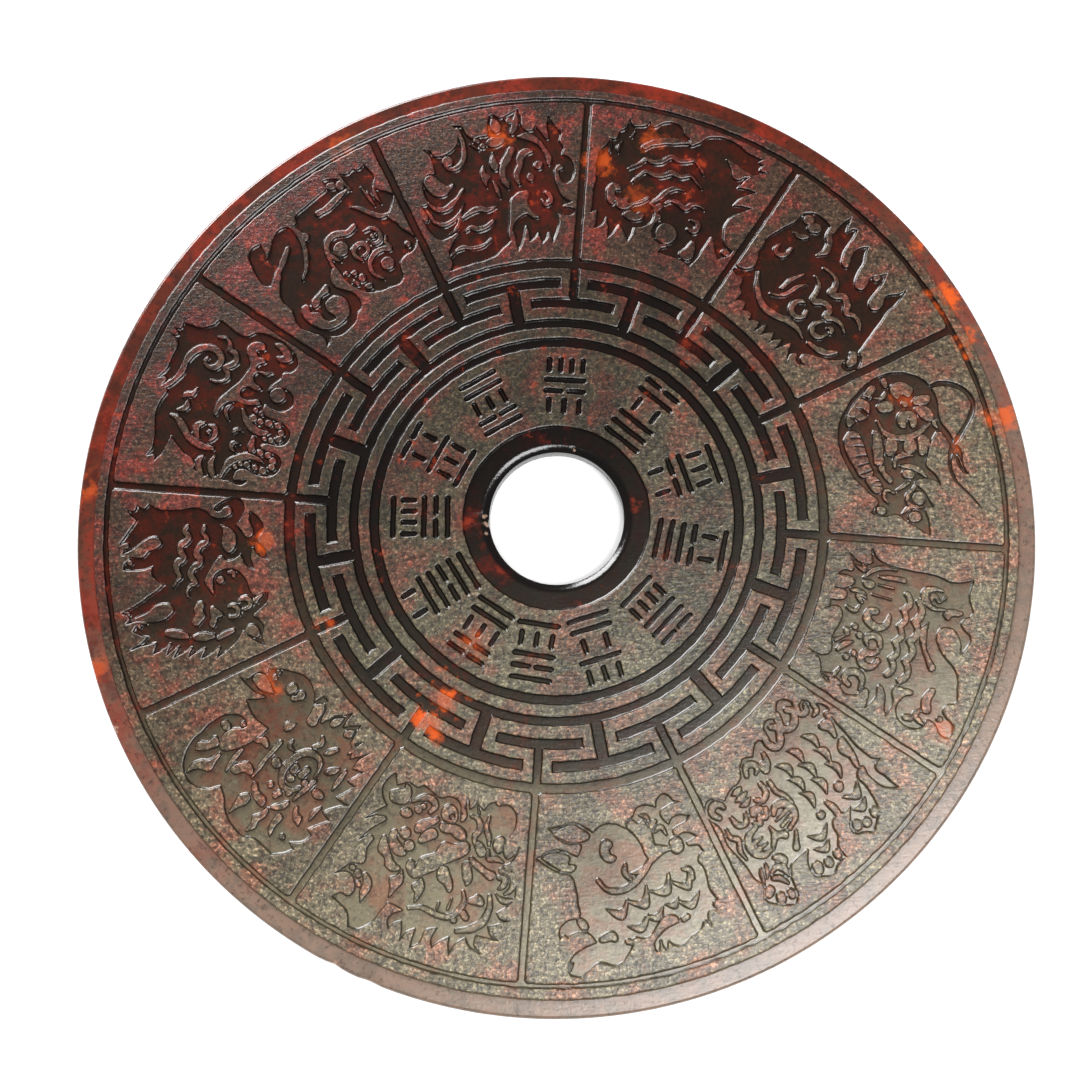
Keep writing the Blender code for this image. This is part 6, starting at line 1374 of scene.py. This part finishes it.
def stone():
    material = bpy.data.materials.new("weathered_red_stone")
    material.use_nodes = True
    tree = material.node_tree
    surface = tree.nodes["Principled BSDF"]

    def mixed(share, first, second):
        """From one colour to another: each is a socket or three numbers."""
        first, second = [(*colour, 1.0) if isinstance(colour, tuple) else colour
                         for colour in (first, second)]
        return add_node(tree, "Mix", {"data_type": "RGBA"}, {0: share, 6: first, 7: second}, 2)

    def noise(place, scale, detail, roughness):
        return add_node(tree, "TexNoise", None,
                        {"Vector": place, "Scale": scale, "Detail": detail, "Roughness": roughness})

    place = add_node(tree, "TexCoord", None, None, 3)
    x, y, z = [add_node(tree, "SeparateXYZ", None, {0: place}, k) for k in range(3)]
    radius = (x * x + y * y) ** 0.5

    def patches(spots, broken):
        """Soft-edged patches, broken up by a noise, whose shares are added up."""
        total = 0.0
        for across, up, reach, share in spots:
            dx, dy = x - across * MM, y - up * MM
            away = (dx * dx + dy * dy) ** 0.5 + (broken - 0.5) * reach * 3.2 * MM
            total = (1.0 - away.step(0.25 * reach * MM, reach * MM)) * share + total
        return total

    grain = noise(place, 1500.0, 3.0, 0.65)
    pits = noise(place, 800.0, 4.0, 0.65)
    streaks = noise(add_node(tree, "CombineXYZ", None, {0: x * 0.22, 1: y, 2: z}), 1500.0, 3.0, 0.6)
    clouds = noise(place, 45.0, 5.0, 0.6)
    rust = noise(place, 120.0, 5.0, 0.65)
    flecks = noise(place, 260.0, 4.0, 0.65)
    broad = noise(place, 14.0, 3.0, 0.5)
    raised = z.step((THICKNESS - 0.6) * MM, (THICKNESS - 0.1) * MM)
    # Painted sheen: the raised level and the rim are made lighter towards the bottom right, where the lamps
    # reflect.
    painted_sheen_side = (x * 0.4 - y * 0.92).step(-72 * MM, 95 * MM)
    # Painted sheen: the lower level is made lighter towards the bottom end, where its smooth floor reflects
    # the lamps.
    painted_sheen_end = (x * 0.3 - y * 0.95).step(-25 * MM, 105 * MM)
    outer = OUTER_RADIUS * MM
    inside = 1.0 - radius.step(0.50 * outer, 0.60 * outer)
    rim = radius.step((FILLET_OUTER - 0.004) * outer, (FILLET_OUTER + 0.006) * outer)
    hole = 1.0 - radius.step((LIP_RADIUS - 0.4) * MM, (LIP_RADIUS + 0.6) * MM)
    # Painted shade: a band low on the walls, where shade falls in the grooves.
    walls = z.step((THICKNESS - 0.69) * MM, (THICKNESS - 0.64) * MM)
    walls = walls - z.step((THICKNESS - 0.35) * MM, (THICKNESS - 0.1) * MM)
    rusty = rust.step(0.44, 0.62)
    # The raised level's colour: its own tones, with a painted sheen making it lighter towards the bottom
    # right.
    patina_and_sheen = mixed(painted_sheen_side, mixed(rusty, (0.036, 0.018, 0.011), (0.09, 0.016, 0.012)),
                   mixed(rusty, (0.125, 0.105, 0.065), (0.17, 0.085, 0.052)))
    middle = mixed(painted_sheen_side, mixed(rusty, (0.018, 0.013, 0.006), (0.035, 0.009, 0.005)),
                   mixed(rusty, (0.1, 0.092, 0.058), (0.13, 0.075, 0.048)))
    patina_and_sheen = mixed(inside * 0.8, patina_and_sheen, middle)
    patina_and_sheen = mixed(clouds.step(0.45, 0.65) * 0.7, patina_and_sheen, patina_and_sheen.scaled(0.4))
    patina_and_sheen = mixed(pits.step(0.46, 0.6) * 0.8, patina_and_sheen, patina_and_sheen.scaled(0.22))
    patina_and_sheen = mixed(grain.step(0.52, 0.64) * 0.7, patina_and_sheen, patina_and_sheen.scaled(3.4))
    patina_and_sheen = mixed(streaks.step(0.52, 0.66) * 0.5, patina_and_sheen, patina_and_sheen.scaled(2.0))
    # The lower level's colour, made lighter towards the bottom end as a painted sheen.
    ground = mixed(painted_sheen_end, mixed(rusty, (0.014, 0.006, 0.003), (0.036, 0.005, 0.002)),
                   mixed(rusty, (0.18, 0.155, 0.1), (0.2, 0.115, 0.072)))
    ground = mixed(clouds.step(0.45, 0.7) * 0.5, ground, ground.scaled(0.35))
    ground = mixed(inside * 0.9, ground, ground.scaled(0.14))
    ground = mixed(pits.step(0.5, 0.64) * 0.6, ground, ground.scaled(0.4))
    ground = mixed(grain.step(0.54, 0.68) * 0.5, ground, ground.scaled(1.8))
    # The rim's colour, made lighter towards the bottom right as a painted sheen.
    edge = mixed(painted_sheen_side, (0.075, 0.013, 0.006), (0.2, 0.135, 0.1))
    dull_edge = mixed(painted_sheen_side, (0.025, 0.008, 0.005), (0.12, 0.1, 0.08))
    edge = mixed(flecks.step(0.46, 0.6) * 0.6, edge, dull_edge)
    edge = mixed(rusty * (1.0 - painted_sheen_side) * 0.7, edge, (0.2, 0.018, 0.008))
    ground = mixed(rim * 0.95, ground, mixed(pits.step(0.54, 0.68) * 0.6, edge, edge.scaled(0.25)))
    colour = mixed(raised, ground, patina_and_sheen)
    # The painted shade on the walls darkens the colour there, except at the rim.
    colour = mixed(walls * (1.0 - rim) * 0.75, colour, colour.scaled(0.12))
    stains = patches(RED_STAINS, broad) * flecks.step(0.45, 0.65)
    colour = mixed(stains * (0.7 - raised * 0.4), colour, (0.08, 0.006, 0.003))
    glow = patches(ORANGE_SPOTS, flecks) * rust.step(0.35, 0.5)
    colour = mixed(glow * (0.8 - raised * 0.45), colour, (0.6, 0.085, 0.009))
    veins = flecks.step(0.58, 0.68) * rust.step(0.5, 0.6) * (1.0 - painted_sheen_side)
    colour = mixed(veins * 0.55, colour, (0.3, 0.035, 0.01))
    colour = mixed(hole * 0.95, colour, (0.004, 0.003, 0.003))
    colour = mixed(patches(PALE_CHIPS, grain), colour, (0.4, 0.26, 0.19))
    tree.links.new(colour.socket, surface.inputs["Base Color"])
    rough = 0.17 + raised * 0.06 + pits * 0.12 - hole * 0.08
    tree.links.new(rough.socket, surface.inputs["Roughness"])
    height = (grain * 0.8 + pits * 0.6 + streaks * 0.6) * (0.3 + raised * 0.7)
    bump = add_node(tree, "Bump", None, {"Height": height, "Strength": 0.85, "Distance": 0.16 * MM})
    tree.links.new(bump.socket, surface.inputs["Normal"])
    return material


# The studio, in metres. Each lamp has its place, its width and its power in watts.
FLOOR_HALF = 3.0
FLOOR_SHADE = 0.9
WORLD_STRENGTH = 0.14
WINDOW = ((-0.75, 1.25, 0.54), 1.0, 58.0)
SHEEN = ((0.37, -0.5, 1.2), 0.75, 25.0)
LENS = 43.11
SENSOR_WIDTH = 36.0
LENS_SHIFT = -0.0328
CAMERA_PLACE = (0.00305, -0.05925, 0.3039 + THICKNESS * MM)
CAMERA_TURN = (0.1743, -0.0012, -0.0183)


def floor():
    mesh = bpy.data.meshes.new("floor")
    corners = [(x * FLOOR_HALF, y * FLOOR_HALF, 0.0) for x, y in ((-1, -1), (1, -1), (1, 1), (-1, 1))]
    mesh.from_pydata(corners, [], [(0, 1, 2, 3)])
    plane = bpy.data.objects.new("floor", mesh)
    material = bpy.data.materials.new("pale_floor")
    material.use_nodes = True
    surface = material.node_tree.nodes["Principled BSDF"]
    surface.inputs["Base Color"].default_value = (FLOOR_SHADE, FLOOR_SHADE, FLOOR_SHADE, 1.0)
    surface.inputs["Roughness"].default_value = 0.9
    mesh.materials.append(material)
    bpy.context.scene.collection.objects.link(plane)


def camera():
    lens = bpy.data.cameras.new("camera")
    lens.lens = LENS
    lens.sensor_width = SENSOR_WIDTH
    lens.shift_x = LENS_SHIFT
    lens.clip_start = 0.01
    view = bpy.data.objects.new("camera", lens)
    view.location = CAMERA_PLACE
    view.rotation_euler = CAMERA_TURN
    bpy.context.scene.collection.objects.link(view)
    bpy.context.scene.camera = view


def area_light(name, place, size, power):
    """A square lamp that points at the disc's middle."""
    light = bpy.data.lights.new(name, "AREA")
    light.shape = "SQUARE"
    light.size = size
    light.energy = power
    lamp = bpy.data.objects.new(name, light)
    lamp.location = place
    lamp.rotation_euler = (-Vector(place)).to_track_quat("-Z", "Y").to_euler()
    bpy.context.scene.collection.objects.link(lamp)


def studio():
    world = bpy.data.worlds.new("studio")
    world.use_nodes = True
    sky = world.node_tree.nodes["Background"]
    sky.inputs["Color"].default_value = (1.0, 1.0, 1.0, 1.0)
    sky.inputs["Strength"].default_value = WORLD_STRENGTH
    bpy.context.scene.world = world
    area_light("window", *WINDOW)
    area_light("sheen", *SHEEN)
    bpy.context.scene.view_settings.view_transform = "Standard"


floor()
camera()
studio()
disc = carved_disc(stone())
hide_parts("bi_disc")
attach(disc, "root")
